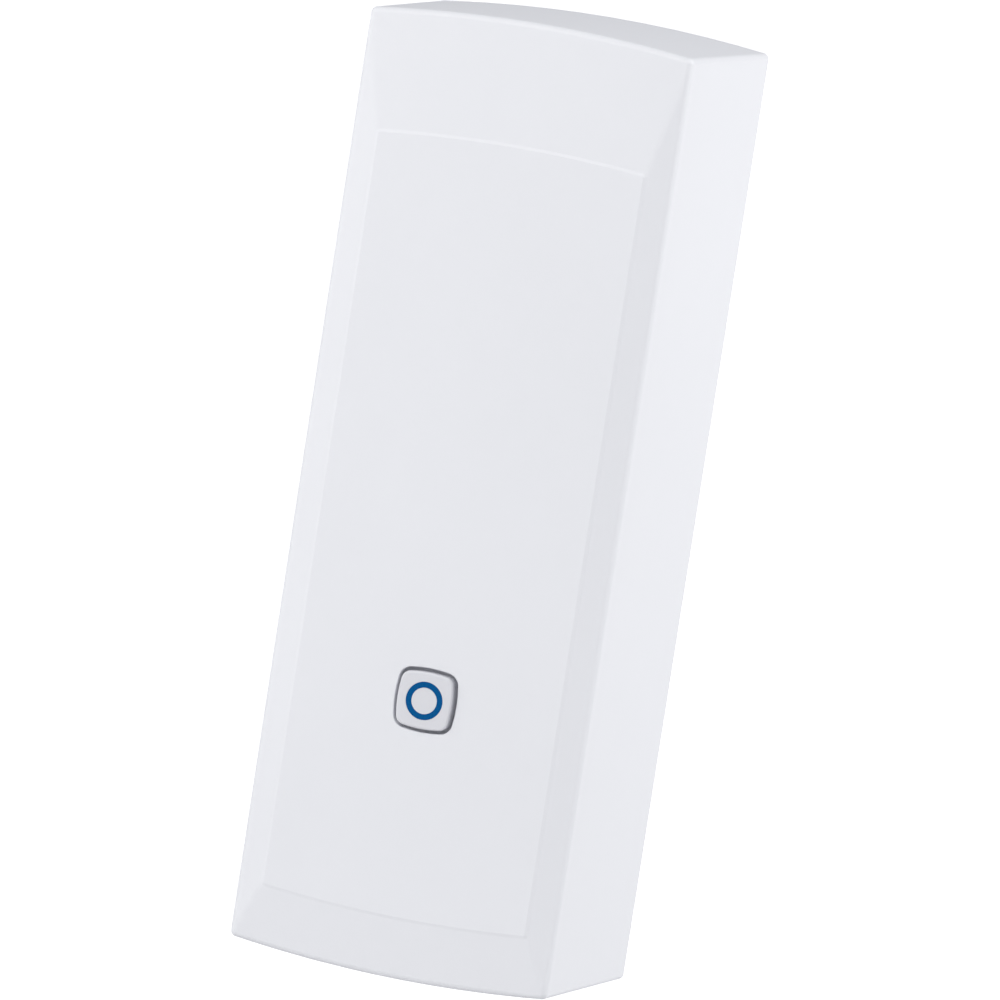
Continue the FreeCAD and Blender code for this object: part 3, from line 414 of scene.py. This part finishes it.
@dataclass(frozen=True)
class SolderMask:
    """Green solder mask over a glass-fibre board, with its copper tracks showing through as lighter lines.

    Attributes:
        name: The material's name.
        mask: The sRGB colour of the mask over bare laminate.
        track: Its sRGB colour over copper.
        pitch: The spacing of the tracks.
        patch: The size of a patch of board whose tracks run one way.
        edge: Where a track's side starts and ends, as shares of the wave between two tracks.
        turned: The share of patches whose tracks run up the board.
        empty: The share of patches with no tracks.
        copper: The height of the tracks under the mask.
    """

    name: str
    mask: str
    track: str
    pitch: float = 1.2 * MM
    patch: float = 7 * MM
    edge: tuple[float, float] = (0.80, 0.88)
    turned: float = 0.5
    empty: float = 0.35
    copper: float = 0.03 * MM

    def build(self) -> bpy.types.Material:
        """Builds the material.

        Returns:
            The new material.
        """
        material, tree = blank_material(self.name)
        place = add_node(tree, "ShaderNodeTexCoord").outputs["Object"]
        # Tracks run in parallel, up in some square patches of board, across in others.
        patches = add_node(tree, "ShaderNodeTexVoronoi", {"Scale": 1 / self.patch, "Randomness": 0.7},
                           {"Vector": place}, distance="CHEBYCHEV")
        chance = add_node(tree, "ShaderNodeSeparateColor", links={0: patches.outputs["Color"]})
        pitch = {"Scale": math.pi / 10 / self.pitch}
        upward = add_node(tree, "ShaderNodeTexWave", pitch, {"Vector": place}, bands_direction="X")
        across = add_node(tree, "ShaderNodeTexWave", pitch, {"Vector": place}, bands_direction="Z")
        turned = add_node(tree, "ShaderNodeMath", {1: self.turned}, {0: chance.outputs["Red"]},
                          operation="GREATER_THAN")
        bands = add_node(tree, "ShaderNodeMix", links={0: turned.outputs[0], 2: upward.outputs["Fac"],
                                                       3: across.outputs["Fac"]}, data_type="FLOAT")
        tracks = add_node(tree, "ShaderNodeMapRange", {1: self.edge[0], 2: self.edge[1]},
                          {0: bands.outputs[0]})
        laid = add_node(tree, "ShaderNodeMath", {1: self.empty}, {0: chance.outputs["Green"]},
                        operation="GREATER_THAN")
        shown = add_node(tree, "ShaderNodeMath", links={0: tracks.outputs[0], 1: laid.outputs[0]},
                         operation="MULTIPLY")
        tint = add_node(tree, "ShaderNodeMix", {6: linear(self.mask), 7: linear(self.track)},
                        {0: shown.outputs[0]}, data_type="RGBA")
        bump = add_node(tree, "ShaderNodeBump", {"Strength": 0.6, "Distance": self.copper},
                        {"Height": shown.outputs[0]})
        surface = add_node(tree, "ShaderNodeBsdfPrincipled", {"Roughness": 0.28, "IOR": 1.5},
                           {"Base Color": tint.outputs[2], "Normal": bump.outputs["Normal"]})
        add_node(tree, "ShaderNodeOutputMaterial", links={"Surface": surface.outputs["BSDF"]})
        return material


@dataclass(frozen=True)
class PrintedSleeve:
    """A cell's shrunk film sleeve, printed in two plain bands.

    Attributes:
        name: The material's name.
        colour: The sRGB colour of the long band.
        band: The sRGB colour of the short band at the positive end.
        border: The height where the bands meet, in metres.
        pole: The end that has the short band.
        blur: Half the width over which the bands meet.
        wave: The distance between the film's faint waves.
        swell: Their height.
    """

    name: str
    colour: str
    band: str
    border: float
    pole: Pole
    blur: float = 0.05 * MM
    wave: float = 4 * MM
    swell: float = 0.05 * MM

    def build(self) -> bpy.types.Material:
        """Builds the material.

        Returns:
            The new material.
        """
        material, tree = blank_material(self.name)
        place = add_node(tree, "ShaderNodeTexCoord").outputs["Object"]
        height = add_node(tree, "ShaderNodeSeparateXYZ", links={0: place})
        edge = self.blur * self.pole.value
        ends = {1: self.border - edge, 2: self.border + edge}
        banded = add_node(tree, "ShaderNodeMapRange", ends, {0: height.outputs["Z"]})
        tint = add_node(tree, "ShaderNodeMix", {6: linear(self.colour), 7: linear(self.band)},
                        {0: banded.outputs[0]}, data_type="RGBA")
        # Shrinking leaves the film a little wavy.
        waves = add_node(tree, "ShaderNodeTexNoise", {"Scale": 1 / self.wave, "Detail": 1.0},
                         {"Vector": place})
        bump = add_node(tree, "ShaderNodeBump", {"Strength": 0.5, "Distance": self.swell},
                        {"Height": waves.outputs["Fac"]})
        surface = add_node(tree, "ShaderNodeBsdfPrincipled",
                           {"Roughness": 0.30, "IOR": 1.5, "Coat Weight": 0.5, "Coat Roughness": 0.15},
                           {"Base Color": tint.outputs[2], "Normal": bump.outputs["Normal"]})
        add_node(tree, "ShaderNodeOutputMaterial", links={"Surface": surface.outputs["BSDF"]})
        return material


# ------------------------------------------------------------------ springs
@dataclass
class WoundSpring:
    """A wire spring with half a turn closed flat at each end.

    Attributes:
        base: The wire's mean radius at the foot.
        tip: Its mean radius at the far end.
        wire: The wire's diameter.
        length: The spring's outer length.
        turns: The number of turns.
        steps: The number of steps in a turn.
        sides: The number of sides round the wire.
    """

    base: float
    tip: float
    wire: float
    length: float
    turns: float
    steps: int = 20
    sides: int = 10

    def wind(self, shape: bmesh.types.BMesh, place: Matrix) -> None:
        """Adds the spring to a shape.

        Args:
            shape: The bmesh that gets the spring.
            place: Turns the spring's own Z axis and foot into their place.
        """
        before = set(shape.verts)
        start = Matrix.Translation((self.base, 0, self.wire / 2)) @ Matrix.Rotation(math.pi / 2, 4, "X")
        ring = bmesh.ops.create_circle(shape, cap_ends=False, radius=self.wire / 2, segments=self.sides,
                                       matrix=start)
        geometry = ring["verts"] + list({edge for vert in ring["verts"] for edge in vert.link_edges})
        rising = self.turns - 1
        for turns, rise in ((0.5, 0.0), (rising, self.length - self.wire), (0.5, 0.0)):
            count = round(turns * self.steps)
            swept = bmesh.ops.spin(shape, geom=geometry, cent=(0, 0, 0), axis=(0, 0, 1),
                                   dvec=(0, 0, rise / count), angle=2 * math.pi * turns, steps=count,
                                   use_merge=False, use_duplicate=False)
            geometry = swept["geom_last"]
        new = [vert for vert in shape.verts if vert not in before]
        open_edges = [edge for edge in shape.edges if edge.is_boundary]
        bmesh.ops.holes_fill(shape, edges=open_edges, sides=0)
        for vert in new:
            share = min(max(vert.co.z / self.length, 0), 1)
            narrowing = 1 + (self.tip / self.base - 1) * share
            vert.co.x *= narrowing
            vert.co.y *= narrowing
        bmesh.ops.transform(shape, matrix=place, verts=new)


# ------------------------------------------------------------------ sub-assemblies
@dataclass
class Housing:
    """The moulded cover and the guide screwed inside it.

    Attributes:
        white: The cover's sRGB colour.
        white_shade: The colour of its faint mottling.
        acetal: The guide's sRGB colour.
        acetal_shade: The colour of its faint mottling.
    """

    white: str = "E9EAEF"
    white_shade: str = "E6E7EC"
    acetal: str = "DFE1E3"
    acetal_shade: str = "D6D9DB"

    def build(self) -> None:
        """Dresses the cover and the guide."""
        # Satin ABS: bright, with a soft sheen and a grit just too fine to count.
        cover = MouldedPlastic("moulded_satin_ABS_white", self.white, self.white_shade, 0.52)
        dress("front_cover", cover.build())
        # Natural acetal: waxy and a touch translucent white.
        guide = MouldedPlastic("moulded_acetal_natural", self.acetal, self.acetal_shade, 0.40,
                               Texture.PLAIN_TOOLED)
        dress("button_guide", guide.build())


@dataclass
class PushButton:
    """The square cap, its light ring, its stem and the spring behind it.

    Attributes:
        cap: The cap's sRGB colour.
        cap_shade: The colour of its faint mottling.
        ring: The light ring's sRGB colour.
        glow: The colour of the painted glow in the ring, an emission that no lamp gives.
        painted_glow_strength: The strength of that painted glow.
        wire: The diameter of the spring's wire.
        turns: The spring's number of turns.
    """

    cap: str = "DCDCE2"
    cap_shade: str = "D8D9DF"
    ring: str = "00528B"
    glow: str = "0A6FC2"
    painted_glow_strength: float = 0.02
    wire: float = 0.45 * MM
    turns: float = 3.5

    def build(self, steel: bpy.types.Material) -> None:
        """Dresses the button and winds its spring.

        Args:
            steel: The finish of the spring's wire.
        """
        # The cap is the same ABS a shade cooler, so that it reads apart from the cover.
        satin = MouldedPlastic("moulded_satin_ABS_cool_white", self.cap, self.cap_shade, 0.46).build()
        dress("button_cap", satin)
        dress("button_core", satin)
        # Tinted polycarbonate: deep blue by day, with a faint painted glow that no lamp gives.
        guide = LightGuide("moulded_polycarbonate_blue_painted_glow", self.ring, self.glow, self.painted_glow_strength)
        dress("light_ring", guide.build())
        self._spring(steel)

    def _spring(self, steel: bpy.types.Material) -> None:
        """Winds the return spring, which rides on the cover.

        Args:
            steel: The finish of its wire.
        """
        low, high = corners("return_spring")
        radius = (high.z - low.z - self.wire) / 2
        length = high.y - low.y
        spring = WoundSpring(radius, radius, self.wire, length, self.turns)
        shape = bmesh.new()
        foot = Vector((0, high.y, (low.z + high.z) / 2))
        spring.wind(shape, Matrix.Translation(foot) @ Matrix.Rotation(math.pi / 2, 4, "X"))
        piece = finish_piece(shape, "return_spring_wound", steel, "cover")
        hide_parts("return_spring")
        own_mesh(piece)


@dataclass
class WallPlate:
    """The base plate, the chassis and their screws.

    Attributes:
        plate: The base plate's sRGB colour.
        plate_shade: The colour of its faint mottling.
        chassis: The chassis's sRGB colour.
        chassis_shade: The colour of its faint mottling.
        screws: The nodes of the unit's own screws.
    """

    plate: str = "CFD1D3"
    plate_shade: str = "CACCCE"
    chassis: str = "AEB1B5"
    chassis_shade: str = "A9ACB0"
    screws: tuple[str, ...] = ("chassis_screws", "board_screws", "guide_screws")

    def build(self, zinc: bpy.types.Material) -> None:
        """Dresses the plate, the chassis and the screws.

        Args:
            zinc: The finish of the screws.
        """
        # Light grey ABS with the coarse spark-eroded texture of a hidden part.
        plate = MouldedPlastic("moulded_ABS_light_grey", self.plate, self.plate_shade, 0.58,
                               Texture.COARSE_SPARK)
        dress("base_plate", plate.build())
        # Mid grey ABS straight from a tooled mould: a little shinier.
        chassis = MouldedPlastic("moulded_ABS_mid_grey", self.chassis, self.chassis_shade, 0.48,
                                 Texture.PLAIN_TOOLED)
        dress("chassis", chassis.build())
        for node in self.screws:
            dress(node, zinc)


@dataclass
class BatteryPack:
    """Four cells in their printed sleeves, with contact plates and springs.

    Attributes:
        film: How far the sleeve's film stands off the can.
        lip: How far it laps over each end.
        turn_in: The radius at which it turns over the can's edge.
        nub: The height of a cell's positive nub.
        sleeve: The sRGB colour of the film's long band.
        band: The sRGB colour of its short band.
        band_share: The short band's share of the can's height.
        wire: The diameter of the contact springs' wire.
        taper: Their tip's radius as a share of their base's.
        spring_turns: Their number of turns.
        poles: The end with the positive nub, cell by cell.
    """

    film: float = 0.08 * MM
    lip: float = 1.5 * MM
    turn_in: float = 0.45 * MM
    nub: float = 1.2 * MM
    sleeve: str = "2F3E4E"
    band: str = "B9BDC2"
    band_share: float = 0.24
    wire: float = 0.7 * MM
    taper: float = 0.63
    spring_turns: float = 4.0
    poles: tuple[Pole, ...] = (Pole.UP, Pole.DOWN, Pole.UP, Pole.DOWN)

    def build(self, nickel: bpy.types.Material, steel: bpy.types.Material) -> None:
        """Dresses the contacts, sleeves the cells and winds the springs.

        Args:
            nickel: The finish of plates and cans.
            steel: The finish of the springs' wire.
        """
        dress("contact_plates", nickel)
        for number, pole in enumerate(self.poles, 1):
            dress(f"cell_{number}", nickel)
            self._sleeve(number, pole)
        self._springs(steel)

    def _sleeve(self, number: int, pole: Pole) -> None:
        """Turns the film sleeve of one cell, with a lip over each end of the can.

        Args:
            number: The cell's number.
            pole: The end that carries its positive nub.
        """
        low, high = corners(f"cell_{number}")
        radius = (high.x - low.x) / 2
        foot = low.z + (self.nub if pole is Pole.DOWN else 0)
        head = high.z - (self.nub if pole is Pole.UP else 0)
        out = radius + self.film
        shoulder = radius - self.turn_in
        mouth = radius - self.lip
        # One corner between the side and the lip rounds the turn, and the inner face just clears the can.
        cut_in, cut_up = self.turn_in * 0.3, self.turn_in * 0.2
        gap = self.film / 4
        outline = [
            (mouth, foot - self.film), (shoulder, foot - self.film), (out - cut_in, foot + cut_up),
            (out, foot + self.turn_in), (out, head - self.turn_in), (out - cut_in, head - cut_up),
            (shoulder, head + self.film), (mouth, head + self.film), (mouth, head + gap),
            (shoulder, head + gap), (radius + gap, head - self.turn_in), (radius + gap, foot + self.turn_in),
            (shoulder, foot - gap), (mouth, foot - gap),
        ]
        shape = bmesh.new()
        axis = middle((low, high))
        add_turned(shape, outline, Matrix.Translation((axis.x, axis.y, 0)), 64)
        span = (head - foot) * self.band_share
        border = head - span if pole is Pole.UP else foot + span
        # Printed film: glossy graphite blue with a plain silver-grey band at the positive end.
        finish = PrintedSleeve(f"printed_film_sleeve_{number}", self.sleeve, self.band, border, pole)
        piece = finish_piece(shape, f"cell_sleeve_{number}", finish.build(), "base")
        piece.data.set_sharp_from_angle(angle=math.radians(50))

    def _springs(self, steel: bpy.types.Material) -> None:
        """Winds the four conical contact springs as one piece.

        Args:
            steel: The finish of their wire.
        """
        shape = bmesh.new()
        for low, high in islands("contact_springs"):
            centre = middle((low, high))
            rises = centre.z < middle(corners("contact_springs")).z
            base = (high.x - low.x - self.wire) / 2
            spring = WoundSpring(base, base * self.taper, self.wire, high.z - low.z, self.spring_turns)
            place = Matrix.Translation((centre.x, centre.y, low.z if rises else high.z))
            turn = Matrix.Identity(4) if rises else Matrix.Rotation(math.pi, 4, "X")
            spring.wind(shape, place @ turn)
        piece = finish_piece(shape, "contact_springs_wound", steel, "base")
        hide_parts("contact_springs")


@dataclass
class CircuitBoard:
    """The board with its parts, plug, leads and aerial.

    Attributes:
        termination: The length of a chip part's tinned end.
        plating: How far the tin stands proud of the part.
        print_width: The width of a printed line.
        print_height: Its thickness.
        print_margin: The distance from a part to the line round it.
        printed: The nodes that have a printed outline.
        solder_radius: The radius of a solder joint.
        solder_profile: Shares of that radius, each with its height in millimetres.
        solder_top: The height of a joint.
        solder_tip: The radius of its blunt tip.
        leg: The thickness of the legs and wires that are soldered.
        crystal_reach: From the main chip's left side to the crystal's.
        crystal_width: The width of the crystal's can.
        crystal_depth: How far the can stands off the board.
        crystal_inset: How far it stops short of the chip at top and bottom.
        crystal_round: The radius of its drawn edges.
        flange_out: How far its flange stands out.
        flange_drop: From the can's top to its flange.
        flange_round: The width of the flange's bevels.
    """

    termination: float = 0.32 * MM
    plating: float = 0.03 * MM
    print_width: float = 0.18 * MM
    print_height: float = 0.02 * MM
    print_margin: float = 0.55 * MM
    printed: tuple[str, ...] = ("radio_module", "microcontroller", "board_header", "switch_body")
    solder_radius: float = 0.75 * MM
    solder_profile: tuple[tuple[float, float], ...] = ((1, 0), (0.72, 0.16), (0.5, 0.42), (0.34, 0.6))
    solder_top: float = 0.66 * MM
    solder_tip: float = 0.05 * MM
    leg: float = 0.5 * MM
    crystal_reach: float = 4.4 * MM
    crystal_width: float = 3.2 * MM
    crystal_depth: float = 2.2 * MM
    crystal_inset: float = 1.0 * MM
    crystal_round: float = 0.7 * MM
    flange_out: float = 0.35 * MM
    flange_drop: float = 1.9 * MM
    flange_round: float = 0.12 * MM

    def build(self, tin: bpy.types.Material) -> None:
        """Dresses the board's parts and adds its fine details.

        Args:
            tin: The finish of solder and of tinned ends.
        """
        tooled = Texture.PLAIN_TOOLED
        # Glass-fibre laminate under mask: deep green, glossy, with paler lines where copper lies beneath.
        dress("circuit_board", SolderMask("solder_mask_green", "0F4A2C", "1F6B40").build())
        # Pressed tinplate: plain bright grey with short random scuffs.
        dress("radio_module", PlatedMetal("pressed_tinplate", "C9C9C6", 0.30, 0.3).build())
        # Drawn aluminium: bluish, with long marks up the can.
        dress("capacitors", PlatedMetal("drawn_aluminium_can", "C4C7CB", 0.28, 0.2, 12.0).build())
        # Epoxy moulding compound: near black, dull, with a fine spark texture.
        epoxy = MouldedPlastic("moulded_epoxy_black", "1A1A1C", "141416", 0.55, Texture.COARSE_SPARK)
        dress("microcontroller", epoxy.build())
        # Fired ceramic: dry tan.
        dress("chip_parts", MouldedPlastic("fired_ceramic_tan", "8E7A62", "84705A", 0.50, tooled).build())
        # Clear epoxy lens over a white lamp: pale blue and wet-looking.
        lens = MouldedPlastic("moulded_clear_lens", "DDE6F0", "CFDCEA", 0.15, tooled, coat=1.0)
        dress("status_leds", lens.build())
        # Filled nylon: black and satin on the switch, charcoal and a little shinier on its plunger.
        dress("switch_body", MouldedPlastic("moulded_nylon_black", "202124", "1B1C1F", 0.45, tooled).build())
        plunger = MouldedPlastic("moulded_nylon_charcoal", "34363A", "2E3034", 0.38, tooled)
        dress("switch_plunger", plunger.build())
        # Unfilled nylon: warm ivory with a soft shine.
        ivory = MouldedPlastic("moulded_nylon_ivory", "E6DEC8", "DFD6BE", 0.42, tooled).build()
        dress("board_header", ivory)
        dress("lead_plug", ivory)
        # Extruded PVC insulation: smooth with a soft shine.
        dress("lead_plus", MouldedPlastic("extruded_PVC_red", "B3211C", "A81E1A", 0.35, tooled).build())
        dress("lead_minus", MouldedPlastic("extruded_PVC_black", "1B1B1C", "161617", 0.35, tooled).build())
        # Lacquered copper wire: warm orange with fine marks along the draw.
        dress("antenna_wire", PlatedMetal("lacquered_copper", "C98A5E", 0.26, 0.1, 8.0).build())
        self._terminations(tin)
        self._print()
        self._solder(tin)
        self._crystal(tin)

    def _face(self) -> float:
        """Returns the depth of the board's front face."""
        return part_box("circuit_board")[0][1]

    def _terminations(self, tin: bpy.types.Material) -> None:
        """Caps both ends of every chip part with tin.

        Args:
            tin: The finish of the caps.
        """
        shape = bmesh.new()
        grow = self.plating
        for low, high in islands("chip_parts"):
            for z_low, z_high in ((low.z, low.z + self.termination), (high.z - self.termination, high.z)):
                corner = Vector((low.x - grow, low.y - grow, z_low - grow))
                far = Vector((high.x + grow, high.y, z_high + grow))
                add_bar(shape, corner, far, 0.05 * MM, 1)
        finish_piece(shape, "chip_terminations", tin, "base", smooth=False)

    def _print(self) -> None:
        """Prints a plain white outline round each larger part."""
        face = self._face()
        width, margin = self.print_width, self.print_margin
        # Screen-printed ink: matt white, a hair above the mask.
        ink = MouldedPlastic("screen_printed_ink_white", "E4E6E4", "DADCDA", 0.6, Texture.PLAIN_TOOLED)
        shape = bmesh.new()
        for node in self.printed:
            low, high = corners(node)
            left, right = low.x - margin, high.x + margin
            foot, head = low.z - margin, high.z + margin
            runs = ((left, right, foot, foot + width), (left, right, head - width, head),
                    (left, left + width, foot + width, head - width),
                    (right - width, right, foot + width, head - width))
            for x_low, x_high, z_low, z_high in runs:
                near = Vector((x_low, face - self.print_height, z_low))
                add_bar(shape, near, Vector((x_high, face, z_high)), self.print_height / 3, 1)
        finish_piece(shape, "board_print", ink.build(), "base", smooth=False)

    def _solder(self, tin: bpy.types.Material) -> None:
        """Adds the solder joints of the switch's legs and of the aerial.

        Args:
            tin: The finish of the joints.
        """
        face = self._face()
        low, high = corners("switch_body")
        aerial = corners("antenna_wire")[0]
        spots = [(x, z) for x in (low.x - self.solder_radius, high.x + self.solder_radius)
                 for z in (low.z + self.leg * 2, high.z - self.leg * 2)]
        spots.append((aerial.x + self.leg, aerial.z + self.leg))
        outline = [(self.solder_radius * share, rise * MM) for share, rise in self.solder_profile]
        outline += [(self.solder_tip, self.solder_top), (self.solder_tip, 0)]
        shape = bmesh.new()
        for x, z in spots:
            place = Matrix.Translation((x, face, z)) @ Matrix.Rotation(math.pi / 2, 4, "X")
            add_turned(shape, outline, place, 24)
        finish_piece(shape, "solder_joints", tin, "base")

    def _crystal(self, tin: bpy.types.Material) -> None:
        """Adds the clock crystal's drawn can beside the main chip.

        Args:
            tin: The finish of the can.
        """
        face = self._face()
        chip_low, chip_high = corners("microcontroller")
        left = chip_low.x - self.crystal_reach
        low = Vector((left, face - self.crystal_depth, chip_low.z + self.crystal_inset))
        high = Vector((left + self.crystal_width, face, chip_high.z - self.crystal_inset))
        out = self.flange_out
        shape = bmesh.new()
        add_bar(shape, low, high, self.crystal_round, 4)
        add_bar(shape, low + Vector((-out, self.flange_drop, -out)), high + Vector((out, 0, out)),
                self.flange_round)
        piece = finish_piece(shape, "crystal_can", tin, "base")
        piece.data.set_sharp_from_angle(angle=math.radians(40))


# ------------------------------------------------------------------ studio
@dataclass(frozen=True)
class Softbox:
    """A plain rectangular area light.

    Attributes:
        name: The light's name.
        place: Where it stands.
        size: Its width and height.
        power: Its power in watts.
        colour: Its sRGB colour.
    """

    name: str
    place: tuple[float, float, float]
    size: tuple[float, float]
    power: float
    colour: str = "FFFEFA"

    def build(self, target: Vector) -> None:
        """Adds the light.

        Args:
            target: The point that it faces.
        """
        lamp = bpy.data.lights.new(self.name, "AREA")
        lamp.shape = "RECTANGLE"
        lamp.size, lamp.size_y = self.size
        lamp.energy = self.power
        lamp.color = linear(self.colour)[:3]
        holder = bpy.data.objects.new(self.name, lamp)
        holder.location = self.place
        holder.rotation_euler = (target - Vector(self.place)).to_track_quat("-Z", "Y").to_euler()
        bpy.context.scene.collection.objects.link(holder)


@dataclass
class Studio:
    """A pale floor, soft light from the front and side, and a long lens.

    Attributes:
        azimuth: The camera's angle to the unit's right, in degrees.
        elevation: Its angle above the unit's middle, in degrees.
        roll: How far the unit's top leans to the right in the picture, in degrees.
        distance: From the camera to the middle of the unit's front.
        lens: The focal length in millimetres.
        sensor: The width of the camera's sensor in millimetres.
        shift: The lens's shift to the right and up, in widths of the picture.
        aim: How far behind the button's face the camera's target lies.
        floor_drop: From the unit's foot down to the floor.
        floor_half: Half the floor's width.
        floor_tones: The two sRGB colours of its faint clouds.
        lit: The depths at which the floor's glow starts and is full.
        glow: The full strength of that glow.
        surround: The strength of the surround.
        surround_colour: Its sRGB colour.
        lights: The lights that stand round the unit.
    """

    azimuth: float = 16.41
    elevation: float = 5.93
    roll: float = 8.81
    distance: float = 1.124
    lens: float = 253.7
    sensor: float = 36
    shift: tuple[float, float] = (0.0423, 0.0034)
    aim: float = 1.7 * MM
    floor_drop: float = 0.12
    floor_half: float = 20
    floor_tones: tuple[str, str] = ("DBDBDC", "DEDEDF")
    lit: tuple[float, float] = (0.1, 0.5)
    glow: float = 0.85
    surround: float = 0.44
    surround_colour: str = "F7F9FF"
    lights: tuple[Softbox, ...] = (
        Softbox("left_softbox", (-0.52, -0.30, 0.12), (0.25, 0.30), 0.52),
        Softbox("key_softbox", (-0.45, -0.78, 0.20), (0.50, 0.50), 1.30),
        Softbox("top_softbox", (-0.20, -1.13, 0.96), (0.60, 0.60), 8.00),
        Softbox("side_softbox", (0.60, 0.07, 0.30), (0.25, 0.30), 2.30),
    )

    def build(self) -> None:
        """Builds the floor, the lights and the camera."""
        self._floor()
        self._surround()
        front = CAD_BOX[0][1]
        for light in self.lights:
            light.build(Vector((0, front, 0)))
            LOG.info("%s gives %.2f W", light.name, light.power)
        self._camera(Vector((0, front + self.aim, 0)))
        LOG.info("camera and floor are set up")

    def _floor(self) -> None:
        """Lays a wide pale floor well below the unit, which hangs on its wall mount."""
        material, tree = blank_material("matt_white_backdrop")
        place = add_node(tree, "ShaderNodeTexCoord").outputs["Object"]
        clouds = add_node(tree, "ShaderNodeTexNoise", {"Scale": 0.5, "Detail": 1.0}, {"Vector": place})
        first, second = (linear(tone) for tone in self.floor_tones)
        tint = add_node(tree, "ShaderNodeMix", {6: first, 7: second}, {0: clouds.outputs["Fac"]},
                        data_type="RGBA")
        # The floor glows behind the unit only, so that it whitens without lighting the front.
        away = add_node(tree, "ShaderNodeSeparateXYZ", links={0: place})
        glow = add_node(tree, "ShaderNodeMapRange", {1: self.lit[0], 2: self.lit[1], 4: self.glow},
                        {0: away.outputs["Y"]}, interpolation_type="SMOOTHSTEP")
        surface = add_node(tree, "ShaderNodeBsdfPrincipled",
                           {"Roughness": 0.9, "Emission Color": (1, 1, 1, 1)},
                           {"Base Color": tint.outputs[2], "Emission Strength": glow.outputs[0]})
        add_node(tree, "ShaderNodeOutputMaterial", links={"Surface": surface.outputs["BSDF"]})
        shape = bmesh.new()
        height = CAD_BOX[0][2] - self.floor_drop
        bmesh.ops.create_grid(shape, x_segments=8, y_segments=8, size=self.floor_half,
                              matrix=Matrix.Translation((0, 0, height)))
        mesh = bpy.data.meshes.new("floor")
        shape.to_mesh(mesh)
        shape.free()
        mesh.materials.append(material)
        floor = bpy.data.objects.new("floor", mesh)
        bpy.context.scene.collection.objects.link(floor)

    def _surround(self) -> None:
        """Sets an even white surround, and the plain view transform that keeps whites as they are lit."""
        world = bpy.data.worlds.new("studio_surround")
        world.use_nodes = True
        background = world.node_tree.nodes["Background"]
        background.inputs["Color"].default_value = linear(self.surround_colour)
        background.inputs["Strength"].default_value = self.surround
        bpy.context.scene.world = world
        bpy.context.scene.view_settings.view_transform = "Standard"

    def _camera(self, target: Vector) -> None:
        """Sets up the camera.

        Args:
            target: The middle of the unit's front, which the camera faces.
        """
        turn, lift, lean = (math.radians(angle) for angle in (self.azimuth, self.elevation, self.roll))
        away = Vector((math.sin(turn) * math.cos(lift), -math.cos(turn) * math.cos(lift), math.sin(lift)))
        right = Vector((math.cos(turn), math.sin(turn), 0))
        up = away.cross(right)
        rolled_right = right * math.cos(lean) + up * math.sin(lean)
        rolled_up = up * math.cos(lean) - right * math.sin(lean)
        axes = Matrix((rolled_right, rolled_up, away)).transposed().to_4x4()
        lens = bpy.data.cameras.new("camera")
        lens.lens = self.lens
        lens.sensor_width = self.sensor
        lens.shift_x, lens.shift_y = self.shift
        lens.clip_start = 0.05
        lens.clip_end = 100
        camera = bpy.data.objects.new("camera", lens)
        camera.matrix_world = Matrix.Translation(target + away * self.distance) @ axes
        bpy.context.scene.collection.objects.link(camera)
        bpy.context.scene.camera = camera


def main() -> None:
    """Builds every sub-assembly and the studio."""
    logging.basicConfig(level=logging.INFO, format="%(name)s: %(message)s")
    # Music wire and plated strip: bright, with fine marks along the draw.
    steel = PlatedMetal("nickel_plated_spring_wire", "C6C6C4", 0.24, 0.12).build()
    nickel = PlatedMetal("nickel_plated_strip", "CFCDC6", 0.27, 0.20, 6.0).build()
    # Bright zinc has a cool blue cast.
    zinc = PlatedMetal("bright_zinc_plate", "BFC3C9", 0.30, 0.25).build()
    # Tin is whiter and glossier, with scuffs and no marks of drawing.
    tin = PlatedMetal("tinned_solder", "D2D2D0", 0.22, 0.30).build()
    Studio().build()
    Housing().build()
    PushButton().build(steel)
    WallPlate().build(zinc)
    BatteryPack().build(nickel, steel)
    CircuitBoard().build(tin)


if __name__ == "__main__":
    main()
